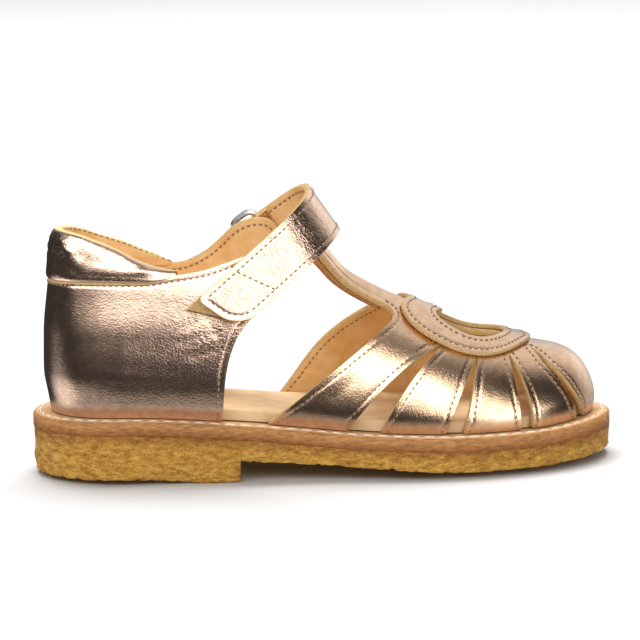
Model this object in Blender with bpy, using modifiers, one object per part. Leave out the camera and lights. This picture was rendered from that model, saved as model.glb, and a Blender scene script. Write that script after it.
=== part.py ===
"""Child's closed-toe T-bar sandal for a right foot, standing on its own sole.

The toe points along +X, the inner side of the foot is +Y and the floor is z = 0.
Sizes are in millimetres and become metres where vertices are placed.
"""
import math

import bmesh
import bpy
import numpy as np
from mathutils import Matrix, Vector
from mathutils.geometry import interpolate_bezier

MM = 0.001
GAP = 0.3
MERGE = 0.02
OBJECT_NAME = "t_bar_sandal"
CREPE_COLOUR = (0.43, 0.26, 0.06)
TAN_COLOUR = (0.62, 0.36, 0.12)
ROSE_GOLD_COLOUR = (0.66, 0.46, 0.36)
STEEL_COLOUR = (0.7, 0.7, 0.7)

# Sole edge seen from above, heel to toe: x, y, heading in degrees, handle behind, handle ahead
SOLE_EDGE = {
    "lateral": (
        (-84, -3, -90, 0, 14.4),
        (-58, -29, 0, 14.4, 14),
        (-14, -28.5, -2, 14, 14),
        (26, -33, 0, 14, 32),
        (84, 5, 90, 21, 0),
    ),
    "medial": (
        (-84, -3, 90, 0, 14.4),
        (-58, 23, 0, 14.4, 14),
        (-18, 21, 4, 14, 16),
        (34, 33, 0, 18, 28),
        (84, 5, -90, 16, 0),
    ),
}
INWARD_TURN = {"lateral": 1, "medial": -1}
EDGE_STEPS = 24

# Heights in the tables start at the sole edge under the forefoot, which stands this far above the floor
EDGE_CLEARANCE = 1.6
# Heights along the sole: x, top of the midsole, underside of the through-sole at its edge and its middle
SOLE_HEIGHTS = (
    (-84, 16.2, 5.2, 5.2),
    (-60, 16.7, 4.9, 4.9),
    (-25, 14.5, 4.1, 4.1),
    (-9, 12.9, 3.2, 3.0),
    (8, 11.4, 2.1, 1.2),
    (28, 10.5, 0.5, -1.0),
    (37, 10.2, 0.0, -EDGE_CLEARANCE),
    (58, 10.1, 0.0, -EDGE_CLEARANCE),
    (84, 11.6, 1.0, 1.0),
)
# Underside of the heel, which lifts towards the back: x, height above the floor
HEEL_TREAD = ((-84, 1.2), (-56, 1.3), (-45, 0.7), (-34, 0.0), (-25, 0.0))
SOLE_STATIONS = 30
SOLE_ROWS = 4
MIDSOLE_THICK = 4.0
OUTSOLE_INSET = 0.2
OUTSOLE_TAPER = 0.2
HEEL_BREAST_X = -25.6
HEEL_TAPER = 0.5
INSOLE_THICK = 3.2
WELT_MARGIN = 5.2
LEATHER = 1.8

# Sections of the vamp: spine x, sole-edge x that the section reaches, roundness of the section
VAMP_SECTIONS = (
    (-20, -54, 1.5),
    (0, -35, 1.5),
    (20, -15, 1.55),
    (26, -2, 1.65),
    (37, 26, 1.9),
    (47, 53, 2.4),
    (58.6, 84, 4.4),
)
# Ridge of the vamp: x, height of its outer face
VAMP_RIDGE = (
    (-10, 75.5),
    (-3.5, 67.6),
    (1.2, 61.6),
    (6.3, 55.6),
    (16.5, 49.3),
    (22, 46.7),
    (34.6, 40.7),
    (47, 36.2),
    (60, 32.3),
    (70, 30.8),
    (84, 28.2),
)
# Middle line of the foot: x, y
MIDDLE_LINE = ((-60, -3.5), (-10, -3.5), (20, -1.8), (45, 1.2), (60, 3.6), (84, 5))
SIDE_ROUNDNESS = 1.9
VAMP_BULGE = 1.3
TUCK_HEIGHT = 7
# Columns of the vamp sheet: spine x at the top, how far the foot trails behind, columns before the next row
VAMP_COLUMNS = (
    (-16, 0, 11),
    (10, 8, 6),
    (20, 12, 6),
    (31, 12, 5),
    (38.7, 8.3, 4),
    (43.7, 3.1, 4),
    (48.4, -0.7, 5),
    (53.2, -3.0, 7),
    (58.6, 0, 0),
)
SWEEP_RISE = 0.62
VAMP_ROWS = 28
ROW_CLOSING = 1.4

# Rear edge of the first strap from the side: height, x
FIRST_STRAP_EDGE = {
    "lateral": ((8, -25), (14.3, -17.1), (27.9, 0.1), (40.2, 16.8), (50, 30)),
    "medial": ((8, -19), (13.4, -14), (18.4, -9.8), (31, 0), (36.5, 6), (42.9, 15), (50, 26)),
}
FIRST_STRAP_SLANT = 0.78
# Half width of the T-bar: x, half width
T_BAR_HALF = ((-10, 5.0), (4, 5.4), (12, 6.2), (18, 7.5), (24, 12))
T_BAR_FILLET = 5
T_BAR_END_X = -7.5
T_BAR_END_ROUND = 4
# Slots between the straps: column at the slot's middle, width at the sole, belly, share of rise at the tip
VAMP_SLOTS = (
    (38.7, 9.6, 0.0, 0.63),
    (43.7, 5.8, 0.3, 0.60),
    (48.4, 4.2, 1.7, 0.66),
    (53.2, 4.5, 1.2, 0.84),
)
# How far each side's slots move towards the toe; the photo shows lining through the front outer slot
SLOT_SHIFT = {"lateral": 0, "medial": -4}
SLOT_TIP_ROUND = 0.6
SLOT_CLOSING = 0.5
TIP_FALL = 30
# Heart shapes: middle x, radius, breadth, depth of the cleft, rise of the lobes, rise of the point
HEART_OUTER = (40.9, 18.8, 1.0, 3.4, 2.6, 0.6)
HEART_HOLE = (41.9, 10.6, 1.24, 3.1, 1.0, 0.3)
CLEFT_SPREAD = 0.28
LOBE_ANGLE = 2.62
LOBE_SPREAD = 0.45
POINT_SPREAD = 0.4
OVERLAY_THICK = 1.3

# Heel wall: height above the welt, bulge at the back, at the sides and at the wings
QUARTER_BULGE = (
    (0, 0, 0, 0),
    (4, 0.6, 1.1, 1.3),
    (12, 1.8, 1.9, 2.2),
    (23, 1.6, 0.6, 1.6),
    (34, 0.5, -2.1, -0.5),
    (44, -0.9, -4.7, -3.5),
    (60, -2.6, -8.8, -8.0),
)
# Range of x over which the back turns into the sides, and the sides into the wings
SIDE_BLEND = (-80, -60)
WING_BLEND = (-70, -26)
# Top edge of the quarter: x, height
QUARTER_TOP = {
    "lateral": (
        (-84, 54.9), (-67, 55.8), (-52, 55.6), (-43, 56.7),
        (-35.5, 57.8), (-29.5, 59.5), (-20, 62.5), (-8, 65),
    ),
    "medial": (
        (-84, 54.9), (-67, 56.0), (-52, 55.5), (-41, 55.9), (-34, 58.7),
        (-29, 62.8), (-25, 66.7), (-21, 68.6), (-17.5, 69.1), (-8, 69.1),
    ),
}
# Front edge of the quarter: height, x
QUARTER_FRONT = {
    "lateral": (
        (14, -30.6), (27, -29.6), (30.5, -29), (38, -26.6),
        (43.6, -22.8), (52.3, -12.7), (57, -8.0), (70, -5),
    ),
    "medial": (
        (14, -30.6), (27, -29.6), (30.5, -29), (38, -26.6),
        (43.6, -22.8), (52.3, -14.5), (60, -11.5), (70, -11.5),
    ),
}
WING_ROUND = 7
QUARTER_REACH = 100
QUARTER_HEIGHT = 57
QUARTER_COLUMNS = 50
QUARTER_ROWS = 14

# Top edge of the collar: x, height
COLLAR_TOP = {
    "lateral": (
        (-84, 68.7), (-76, 69.0), (-71.5, 68.5), (-65, 66.6), (-60, 64.6),
        (-54, 61.3), (-48, 59.0), (-42, 57.9), (-38, 57.7),
    ),
    "medial": (
        (-84, 68.7), (-76, 68.6), (-70, 67.3), (-65, 65.6), (-57.3, 62.9),
        (-49.7, 59.7), (-42, 57.2), (-38, 57.0),
    ),
}
COLLAR_END_X = -42
COLLAR_HALF_THICK = 2.2
COLLAR_INWARD = 1.2
COLLAR_BOXY = 0.78
COLLAR_CLOSING = 10
COLLAR_END_SHARE = 0.3
COLLAR_COLUMNS = 34
COLLAR_ROWS = 12

# Ankle strap: an arch in a plane that leans back, and straight legs below it
STRAP_CREST = (0.8, -3.5, 73.1)
STRAP_LEAN = 39.5
MEDIAL_LEAN = 5.0
CREST_TWIST = 5.0
STRAP_SPLAY = 0.12
STRAP_THICK = 2.0
# Half width of the strap: distance from its lateral end, half width
STRAP_HALF = ((0, 7.0), (30, 7.0), (62, 7.5), (84, 7.2), (120, 7.2))
ARCH_HALF = {"lateral": 20.6, "medial": 22.8}
ARCH_RISE = 17.0
ARCH_FULLNESS = {"lateral": 1.0, "medial": 0.45}
STRAP_END_DROP = 43.3
STRAP_FLARE = 5.4
ARCH_STEPS = 18
LEG_STEPS = 8
STRAP_ROWS = 6
STRAP_END_ROUND = {"rear": 2.0, "front": 6.4}
STRAP_END_SKEW = 0.27

RING_WIRE = 1.0
RING_HALF_WIDTH = 9.6
RING_TOP_DROP = 17.8
RING_LENGTH = 7.7
RING_CORNER = 2.5
RING_CORNER_STEPS = 4
RING_WIRE_STEPS = 2
HOOK_TAIL = 6.5
HOOK_STEPS = 8
HOOK_CLOSING = 0.6

TAB_HALF_WIDTH = 5.0
TAB_LENGTH = 11
TAB_THICK = 1.2
TAB_CLOSING = 1.9

PATCH_THICK = 1.0
PATCH_SPAN = (22, 47.5)
PATCH_SKEW = 0.75
PATCH_HALF_WIDTH = 6.2
PATCH_COLUMNS = 8
PATCH_ROWS = 5


def smooth_table(rows, column=1):
    """Return a function that runs smoothly through one column of a table, without overshoot."""
    x = np.array([row[0] for row in rows], float)
    y = np.array([row[column] for row in rows], float)
    step = np.diff(x)
    rise = np.diff(y) / step
    slope = np.zeros(len(x))
    for i in range(1, len(x) - 1):
        if rise[i - 1] * rise[i] > 0:
            before = 2 * step[i] + step[i - 1]
            after = step[i] + 2 * step[i - 1]
            slope[i] = (before + after) / (before / rise[i - 1] + after / rise[i])
    slope[0] = rise[0]
    slope[-1] = rise[-1]

    def value(at):
        i = int(np.clip(np.searchsorted(x, at) - 1, 0, len(step) - 1))
        t = min(max((at - x[i]) / step[i], 0.0), 1.0)
        start = (1 + 2 * t) * (1 - t) ** 2 * y[i] + t * (1 - t) ** 2 * step[i] * slope[i]
        end = t * t * (3 - 2 * t) * y[i + 1] - t * t * (1 - t) * step[i] * slope[i + 1]
        return start + end

    return value


def smooth_step(low, high, value):
    t = min(max((value - low) / (high - low), 0.0), 1.0)
    return t * t * (3 - 2 * t)


def blended_min(a, b, reach):
    """Smaller of two distances, rounded where they meet."""
    share = max(reach - abs(a - b), 0.0) / reach
    return min(a, b) - share * share * reach / 4


def blended_max(a, b, reach):
    return -blended_min(-a, -b, reach)


welt_height = smooth_table(SOLE_HEIGHTS, 1)
tread_height = smooth_table(SOLE_HEIGHTS, 2)
tread_middle = smooth_table(SOLE_HEIGHTS, 3)
heel_tread = smooth_table(HEEL_TREAD)
section_base_x = smooth_table(VAMP_SECTIONS, 1)
section_roundness = smooth_table(VAMP_SECTIONS, 2)
ridge_height = smooth_table(VAMP_RIDGE)
middle_y = smooth_table(MIDDLE_LINE)
first_strap_x = {side: smooth_table(rows) for side, rows in FIRST_STRAP_EDGE.items()}
t_bar_half = smooth_table(T_BAR_HALF)
column_sweep = smooth_table(VAMP_COLUMNS)
strap_half = smooth_table(STRAP_HALF)
back_bulge = smooth_table(QUARTER_BULGE, 1)
side_bulge = smooth_table(QUARTER_BULGE, 2)
wing_bulge = smooth_table(QUARTER_BULGE, 3)
quarter_top = {side: smooth_table(rows) for side, rows in QUARTER_TOP.items()}
quarter_front_x = {side: smooth_table(rows) for side, rows in QUARTER_FRONT.items()}
collar_top = {side: smooth_table(rows) for side, rows in COLLAR_TOP.items()}


class SoleEdge:
    """One side of the sole edge, from the heel to the toe."""

    def __init__(self, side):
        rows = SOLE_EDGE[side]
        points = []
        for start, end in zip(rows, rows[1:]):
            points += self.arc(start, end)[:-1]
        points.append(Vector((rows[-1][0], rows[-1][1], 0)))
        self.points = np.array([(point.x, point.y) for point in points])
        self.length = np.append(0, np.cumsum(np.hypot(*np.diff(self.points, axis=0).T)))
        ahead = np.gradient(self.points, self.length, axis=0)
        ahead[0] = self.heading(rows[0])
        ahead[-1] = self.heading(rows[-1])
        turn = INWARD_TURN[side]
        self.inward = np.stack((-turn * ahead[:, 1], turn * ahead[:, 0]), axis=1)

    @staticmethod
    def heading(row):
        angle = math.radians(row[2])
        return math.cos(angle), math.sin(angle)

    def arc(self, start, end):
        first = Vector((start[0], start[1], 0))
        last = Vector((end[0], end[1], 0))
        leave = first + Vector((*self.heading(start), 0)) * start[4]
        reach = last - Vector((*self.heading(end), 0)) * end[3]
        return interpolate_bezier(first, leave, reach, last, EDGE_STEPS + 1)

    def length_at(self, x):
        return float(np.interp(x, self.points[:, 0], self.length))

    def y_at(self, x, inset):
        """Place across the foot of the inset edge at one station."""
        inner = self.points + self.inward * inset
        return float(np.interp(x, inner[:, 0], inner[:, 1]))

    def at(self, length, inset):
        """Point on the edge moved inwards by the inset."""
        point = [np.interp(length, self.length, self.points[:, i]) for i in (0, 1)]
        inward = [np.interp(length, self.length, self.inward[:, i]) for i in (0, 1)]
        return point[0] + inward[0] * inset, point[1] + inward[1] * inset


EDGES = {side: SoleEdge(side) for side in SOLE_EDGE}


def new_collection(name):
    collection = bpy.data.collections.new(name)
    bpy.context.scene.collection.children.link(collection)
    return collection


def new_material(name, colour, roughness, metallic=0.0):
    material = bpy.data.materials.new(name)
    material.use_nodes = True
    shader = material.node_tree.nodes["Principled BSDF"]
    shader.inputs["Base Color"].default_value = (*colour, 1)
    shader.inputs["Roughness"].default_value = roughness
    shader.inputs["Metallic"].default_value = metallic
    return material


def crepe_rubber(name):
    return new_material(name, CREPE_COLOUR, roughness=0.8)


def tan_leather(name):
    return new_material(name, TAN_COLOUR, roughness=0.6)


def metallic_leather(name):
    return new_material(name, ROSE_GOLD_COLOUR, roughness=0.3, metallic=0.8)


def patch_fabric(name):
    return new_material(name, TAN_COLOUR, roughness=0.9)


def ring_steel(name):
    return new_material(name, STEEL_COLOUR, roughness=0.2, metallic=1.0)


def add_object(name, mesh, material):
    """Object from a mesh whose heights start at the sole edge."""
    mesh.transform(Matrix.Translation((0, 0, EDGE_CLEARANCE * MM)))
    mesh.materials.append(material)
    thing = bpy.data.objects.new(name, mesh)
    bpy.data.collections[OBJECT_NAME].objects.link(thing)
    return thing


def finish_sheet(bm, name, material, smooth=True):
    """Turn a built bmesh, in millimetres, into an object in metres."""
    bmesh.ops.remove_doubles(bm, verts=bm.verts, dist=MERGE)
    for vert in bm.verts:
        vert.co *= MM
    for face in bm.faces:
        face.smooth = smooth
    mesh = bpy.data.meshes.new(name)
    bm.to_mesh(mesh)
    bm.free()
    return add_object(name, mesh, material)


def thicken(thing, thickness):
    """Give a sheet its thickness on the inner side."""
    solidify = thing.modifiers.new("thickness", "SOLIDIFY")
    solidify.thickness = thickness * MM
    solidify.offset = -1
    solidify.use_even_offset = True
    return thing


def unit_grid(columns, rows):
    """Flat sheet whose x and y run from -1 to 1."""
    bm = bmesh.new()
    bmesh.ops.create_grid(bm, x_segments=columns, y_segments=rows, size=1)
    return bm


def trim(bm, outside):
    """Cut a sheet along the line where outside() is zero and drop what lies beyond it."""
    value = {vert: outside(vert.co.x, vert.co.y) for vert in bm.verts}
    on_line = []
    for edge in bm.edges[:]:
        first, second = edge.verts
        if value[first] * value[second] < 0:
            share = value[first] / (value[first] - value[second])
            cut = bmesh.utils.edge_split(edge, first, share)[1]
            value[cut] = 0.0
            on_line.append(cut)
    bmesh.ops.connect_verts(bm, verts=on_line)
    waste = [face for face in bm.faces if sum(value[vert] for vert in face.verts) > 0]
    bmesh.ops.delete(bm, geom=waste, context="FACES")


def place_sheet(bm, place):
    for vert in bm.verts:
        vert.co = Vector(place(vert.co.x, vert.co.y))


def spread(share, low, high):
    """Map a share from -1 to 1 onto a range."""
    return low + (high - low) * (share + 1) / 2


def sole_outline(share, across, inset, front_x):
    """Point inside the sole edge for shares along and across; stations close up at the round ends."""
    heel_x = SOLE_EDGE["lateral"][0][0] + inset
    toe_x = SOLE_EDGE["lateral"][-1][0] - inset
    if front_x is None:
        x = (heel_x + toe_x) / 2 - (toe_x - heel_x) / 2 * math.cos((share + 1) / 2 * math.pi)
    else:
        x = front_x - (front_x - heel_x) * math.cos((share + 1) / 4 * math.pi)
    sides = [EDGES[side].y_at(x, inset) for side in ("lateral", "medial")]
    return x, spread(across, *sides)


def sole_slab(name, material, inset, top, bottom, taper=0.0, front_x=None, middle=None):
    """Solid between two heights, with the outline of the sole; its underside may lie lower in the middle."""
    bm = unit_grid(SOLE_STATIONS, SOLE_ROWS)
    grown = bmesh.ops.extrude_face_region(bm, geom=bm.faces[:])["geom"]
    lower = {item for item in grown if isinstance(item, bmesh.types.BMVert)}
    for vert in bm.verts:
        below = vert in lower
        along, across = vert.co.xy
        x, y = sole_outline(along, across, inset + taper * below, front_x)
        height = bottom(x) if below else top(x)
        if below and middle and abs(along) < 1:
            height += (middle(x) - height) * min(2 - 2 * abs(across), 1)
        vert.co = (x, y, height)
    bmesh.ops.remove_doubles(bm, verts=bm.verts, dist=MERGE)
    bmesh.ops.recalc_face_normals(bm, faces=bm.faces)
    return finish_sheet(bm, name, material, smooth=False)


def vamp_point(spine_x, rise):
    """Outer face of the vamp: rise is -1 at the lateral sole, 0 on the ridge and 1 at the medial sole."""
    edge = EDGES["lateral" if rise < 0 else "medial"]
    length = edge.length_at(section_base_x(spine_x))
    angle = (1 - abs(rise)) * math.pi / 2
    out = math.cos(angle) ** (2 / section_roundness(spine_x))
    up = math.sin(angle) ** (2 / SIDE_ROUNDNESS)
    base = edge.at(length, WELT_MARGIN - VAMP_BULGE)
    spine_y = middle_y(spine_x)
    x = spine_x + out * (base[0] - spine_x)
    y = spine_y + out * (base[1] - spine_y)
    floor = welt_height(x) + GAP
    height = (ridge_height(x) - floor) * up
    tuck = VAMP_BULGE * max(1 - height / TUCK_HEIGHT, 0) ** 2
    foot = edge.at(length, WELT_MARGIN - VAMP_BULGE + tuck)
    return Vector((x + foot[0] - base[0], y + foot[1] - base[1], floor + height))


def column_at(share):
    """Vamp column for a share along the sheet, closing up where the toe turns."""
    counts = [row[2] for row in VAMP_COLUMNS]
    place = (share + 1) / 2 * sum(counts)
    row = 0
    while row < len(counts) - 2 and place > counts[row]:
        place -= counts[row]
        row += 1
    part = place / counts[row]
    if row == len(counts) - 2:
        part = math.sin(part * math.pi / 2)
    return VAMP_COLUMNS[row][0] + (VAMP_COLUMNS[row + 1][0] - VAMP_COLUMNS[row][0]) * part


def column_spine(column, rise):
    """Spine x of a point on a column, whose foot trails behind its top."""
    return column - column_sweep(column) * max(1 - (1 - abs(rise)) / SWEEP_RISE, 0)


def heart_outside(x, y, shape):
    """Distance beyond a heart whose cleft points to the heel."""
    middle_x, radius, breadth, cleft, lobe, point = shape
    across = (y - middle_y(x)) / breadth
    along = x - middle_x
    angle = abs(math.atan2(across, along))
    reach = radius - cleft * math.exp(-(((math.pi - angle) / CLEFT_SPREAD) ** 2))
    reach += lobe * math.exp(-(((angle - LOBE_ANGLE) / LOBE_SPREAD) ** 2))
    reach += point * math.exp(-((angle / POINT_SPREAD) ** 2))
    return math.hypot(along, across) - reach


def slot_inside(column, rise):
    """Depth inside the nearest slot between the straps, in millimetres; below zero outside."""
    side = "lateral" if rise < 0 else "medial"
    edge = EDGES[side]
    climb = 1 - abs(rise)
    shrink = 1 - SLOT_CLOSING * climb
    foot = edge.length_at(section_base_x(column_spine(column, 1)))
    depths = []
    for slot_column, width, belly, tip in VAMP_SLOTS:
        middle = edge.length_at(section_base_x(column_spine(slot_column, 1))) + SLOT_SHIFT[side]
        share = min(climb / tip, 1)
        half = width / 2 * (1 + belly * share) * (1 - share) ** SLOT_TIP_ROUND
        past_tip = max(climb - tip, 0) * TIP_FALL
        depths.append((half - abs(foot - middle)) * shrink - past_tip)
    return max(depths)


def vamp_outside(column, rise):
    point = vamp_point(column_spine(column, rise), rise)
    edge_x = first_strap_x["lateral" if rise < 0 else "medial"]
    behind_strap = (edge_x(point.z) - point.x) * FIRST_STRAP_SLANT
    beside_bar = abs(point.y - middle_y(point.x)) - t_bar_half(point.x)
    beside_bar = blended_max(beside_bar, T_BAR_END_X - point.x, T_BAR_END_ROUND)
    beyond = blended_min(behind_strap, beside_bar, T_BAR_FILLET)
    hole = -heart_outside(point.x, point.y, HEART_HOLE)
    return max(beyond, slot_inside(column, rise), hole)


def overlay_outside(column, rise):
    point = vamp_point(column_spine(column, rise), rise)
    ring = heart_outside(point.x, point.y, HEART_OUTER)
    return max(ring, -heart_outside(point.x, point.y, HEART_HOLE))


def vamp_sheet(outside):
    """Trimmed sheet laid on the vamp's outer face, with its rows closing up towards the ridge."""
    bm = unit_grid(sum(row[2] for row in VAMP_COLUMNS), VAMP_ROWS)
    for vert in bm.verts:
        vert.co.x = column_at(vert.co.x)
        vert.co.y = math.copysign(abs(vert.co.y) ** ROW_CLOSING, vert.co.y)
    trim(bm, outside)
    place_sheet(bm, lambda column, rise: vamp_point(column_spine(column, rise), rise))
    return bm


def add_vamp(material):
    return thicken(finish_sheet(vamp_sheet(vamp_outside), "vamp", material), LEATHER)


def add_heart_overlay(material):
    overlay = finish_sheet(vamp_sheet(overlay_outside), "heart_overlay", material)
    lift = overlay.modifiers.new("lift", "DISPLACE")
    lift.strength = (GAP + OVERLAY_THICK) * MM
    lift.mid_level = 0
    return thicken(overlay, OVERLAY_THICK)


def quarter_point(reach, height, lift=0.0):
    """Outer face of the heel wall: reach runs round the heel from its back, lateral side below zero."""
    edge = EDGES["lateral" if reach < 0 else "medial"]
    length = abs(reach)
    foot = edge.at(length, WELT_MARGIN)
    bulge = back_bulge(height)
    for next_bulge, blend in ((side_bulge, SIDE_BLEND), (wing_bulge, WING_BLEND)):
        bulge += (next_bulge(height) - bulge) * smooth_step(*blend, foot[0])
    x, y = edge.at(length, WELT_MARGIN - bulge - lift)
    return Vector((x, y, welt_height(x) + GAP + height))


def quarter_outside(reach, height):
    side = "lateral" if reach < 0 else "medial"
    point = quarter_point(reach, height)
    above = point.z - quarter_top[side](point.x)
    ahead = point.x - quarter_front_x[side](point.z)
    return blended_max(above, ahead, WING_ROUND)


def add_quarter(material):
    bm = unit_grid(QUARTER_COLUMNS, QUARTER_ROWS)

    def shares(a, b):
        return -a * QUARTER_REACH, spread(b, 0, QUARTER_HEIGHT)

    trim(bm, lambda a, b: quarter_outside(*shares(a, b)))
    place_sheet(bm, lambda a, b: quarter_point(*shares(a, b)))
    return thicken(finish_sheet(bm, "quarter", material), LEATHER)


def add_collar(material):
    """Padded roll standing on the top edge of the quarter."""
    bm = unit_grid(COLLAR_COLUMNS, COLLAR_ROWS)
    ends = [EDGES[side].length_at(COLLAR_END_X) for side in ("lateral", "medial")]

    def place(a, b):
        reach = spread(a, -ends[0], ends[1])
        x = quarter_point(reach, QUARTER_HEIGHT).x
        side = "lateral" if reach < 0 else "medial"
        turns = (math.cos(b * math.pi), math.sin(b * math.pi))
        out, up = (math.copysign(abs(turn) ** COLLAR_BOXY, turn) for turn in turns)
        height = spread(up, quarter_top[side](x) + GAP, collar_top[side](x)) - welt_height(x) - GAP
        opening = math.sqrt(smooth_step(0, COLLAR_CLOSING, COLLAR_END_X - x))
        half_thick = COLLAR_HALF_THICK * (COLLAR_END_SHARE + (1 - COLLAR_END_SHARE) * opening)
        return quarter_point(reach, height, out * half_thick - COLLAR_INWARD)

    place_sheet(bm, place)
    bmesh.ops.remove_doubles(bm, verts=bm.verts, dist=MERGE)
    bmesh.ops.holes_fill(bm, edges=[edge for edge in bm.edges if edge.is_boundary])
    bmesh.ops.recalc_face_normals(bm, faces=bm.faces)
    return finish_sheet(bm, "collar", material)


def strap_frame(across, drop, sideways):
    """Point from the strap's own plane: across the foot, down the strap, along its width."""
    side = min(max(across / ARCH_HALF["lateral"], -1), 1)
    fall = min(drop / ARCH_RISE, 1)
    lean = math.radians(STRAP_LEAN - MEDIAL_LEAN * max(side, 0))
    twisted = lean - math.radians(CREST_TWIST) * (1 - fall)
    down = Vector((-math.cos(lean), 0, -math.sin(lean)))
    width = Vector((math.sin(twisted), STRAP_SPLAY * side * fall, -math.cos(twisted)))
    return Vector(STRAP_CREST) + Vector((0, across, 0)) + down * drop + width * sideways


def add_ribbon(name, material, path, half_width, thickness, outside=None):
    """Ribbon of leather along a path in the strap's plane, thickened to the right of the path."""
    bm = unit_grid(len(path) - 1, STRAP_ROWS)
    length = np.append(0, np.cumsum(np.hypot(*np.diff(np.array(path), axis=0).T)))

    def shares(a, b):
        index = spread(a, 0, len(path) - 1)
        reach = float(np.interp(index, range(len(path)), length))
        return reach, -b * half_width(reach)

    def place(a, b):
        reach, sideways = shares(a, b)
        across, drop = (float(np.interp(reach, length, [point[i] for point in path])) for i in (0, 1))
        return strap_frame(across, drop, sideways)

    if outside:
        trim(bm, lambda a, b: outside(*shares(a, b)))
    place_sheet(bm, place)
    return thicken(finish_sheet(bm, name, material), thickness)


def arch_path():
    """Outer line of the strap from its lateral end to the medial ring."""
    slant = STRAP_FLARE / (STRAP_END_DROP - ARCH_RISE)
    path = []
    for i in range(LEG_STEPS):
        share = i / LEG_STEPS
        drop = STRAP_END_DROP + (ARCH_RISE - STRAP_END_DROP) * share
        path.append((-ARCH_HALF["lateral"] - STRAP_FLARE * (1 - share), drop))
    for i in range(ARCH_STEPS + 1):
        angle = -math.pi / 2 + math.pi * i / ARCH_STEPS
        side = "lateral" if angle < 0 else "medial"
        crest = max(math.cos(angle), 0) ** ARCH_FULLNESS[side]
        lean_in = slant * ARCH_RISE * crest * (1 - crest) if side == "lateral" else 0.0
        path.append((ARCH_HALF[side] * math.sin(angle) + lean_in, ARCH_RISE * (1 - crest)))
    return path


def hook_path(bar_across, bar_drop, first_angle, last_angle, radius):
    """Turn round a ring bar, from one angle to another."""
    turn = []
    for i in range(HOOK_STEPS + 1):
        angle = math.radians(first_angle + (last_angle - first_angle) * i / HOOK_STEPS)
        turn.append((bar_across + radius * math.cos(angle), bar_drop + radius * math.sin(angle)))
    return turn


def ring_bars():
    """Places of the ring's upper and lower bar: across the foot, down the strap."""
    across = ARCH_HALF["medial"] - STRAP_THICK - GAP - RING_WIRE
    return (across, RING_TOP_DROP), (across, RING_TOP_DROP + RING_LENGTH)


def strap_outside(reach, sideways):
    """Distance beyond the rounded, slanting lateral end of the strap."""
    half = strap_half(reach)
    corner = STRAP_END_ROUND["rear" if sideways < 0 else "front"]
    short = corner + STRAP_END_SKEW * (sideways + half) - reach
    side = abs(sideways) - half + corner
    if short <= 0 or side <= 0:
        return max(short, side) - corner
    return math.hypot(short, side) - corner


def add_ankle_strap(material):
    upper_bar = ring_bars()[0]
    path = arch_path() + hook_path(*upper_bar, 0, 180, RING_WIRE + GAP + STRAP_THICK)[1:]
    path.append((path[-1][0] + HOOK_CLOSING, upper_bar[1] - HOOK_TAIL))
    return add_ribbon("ankle_strap", material, path, strap_half, STRAP_THICK, strap_outside)


def add_ring_tab(material):
    lower_bar = ring_bars()[1]
    turn = hook_path(*lower_bar, 180, 360, RING_WIRE + GAP + TAB_THICK)
    path = [(turn[0][0] + TAB_CLOSING, lower_bar[1] + TAB_LENGTH)] + turn
    path.append((turn[-1][0], lower_bar[1] + TAB_LENGTH))
    return add_ribbon("ring_tab", material, path, lambda reach: TAB_HALF_WIDTH, TAB_THICK)


def add_strap_ring(material):
    """Wire bent into a rounded rectangle."""
    (across, upper), (_, lower) = ring_bars()
    curve = bpy.data.curves.new("strap_ring", "CURVE")
    curve.dimensions = "3D"
    curve.bevel_depth = RING_WIRE * MM
    curve.bevel_resolution = RING_WIRE_STEPS
    curve.use_fill_caps = True
    path = []
    for turn in range(4):
        first = turn * 90
        drop = (lower - RING_CORNER) if turn in (0, 1) else (upper + RING_CORNER)
        width = (RING_HALF_WIDTH - RING_CORNER) * (1 if turn in (0, 3) else -1)
        for step in range(RING_CORNER_STEPS + 1):
            angle = math.radians(first + 90 * step / RING_CORNER_STEPS)
            point = drop + RING_CORNER * math.sin(angle), width + RING_CORNER * math.cos(angle)
            path.append(strap_frame(across, *point) * MM)
    spline = curve.splines.new("POLY")
    spline.points.add(len(path) - 1)
    spline.use_cyclic_u = True
    for place, point in zip(spline.points, path):
        place.co = (*point, 1)
    bent = bpy.data.objects.new("strap_ring_wire", curve)
    mesh = bpy.data.meshes.new_from_object(bent)
    bpy.data.objects.remove(bent)
    for face in mesh.polygons:
        face.use_smooth = True
    return add_object("strap_ring", mesh, material)


def add_strap_patch(material):
    """Hook-and-loop patch on the outer side of the quarter, turned with the strap and slanting at its end."""
    bm = unit_grid(PATCH_COLUMNS, PATCH_ROWS)
    outer = -ARCH_HALF["lateral"]

    def on_wall(a, b):
        sideways = -b * PATCH_HALF_WIDTH
        end = PATCH_SPAN[1] - PATCH_SKEW * (sideways + PATCH_HALF_WIDTH)
        aim = strap_frame(outer, spread(a, PATCH_SPAN[0], end), sideways)
        height = aim.z - welt_height(aim.x) - GAP
        return quarter_point(-EDGES["lateral"].length_at(aim.x), height, GAP + PATCH_THICK)

    place_sheet(bm, on_wall)
    return thicken(finish_sheet(bm, "strap_patch", material), PATCH_THICK)


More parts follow.
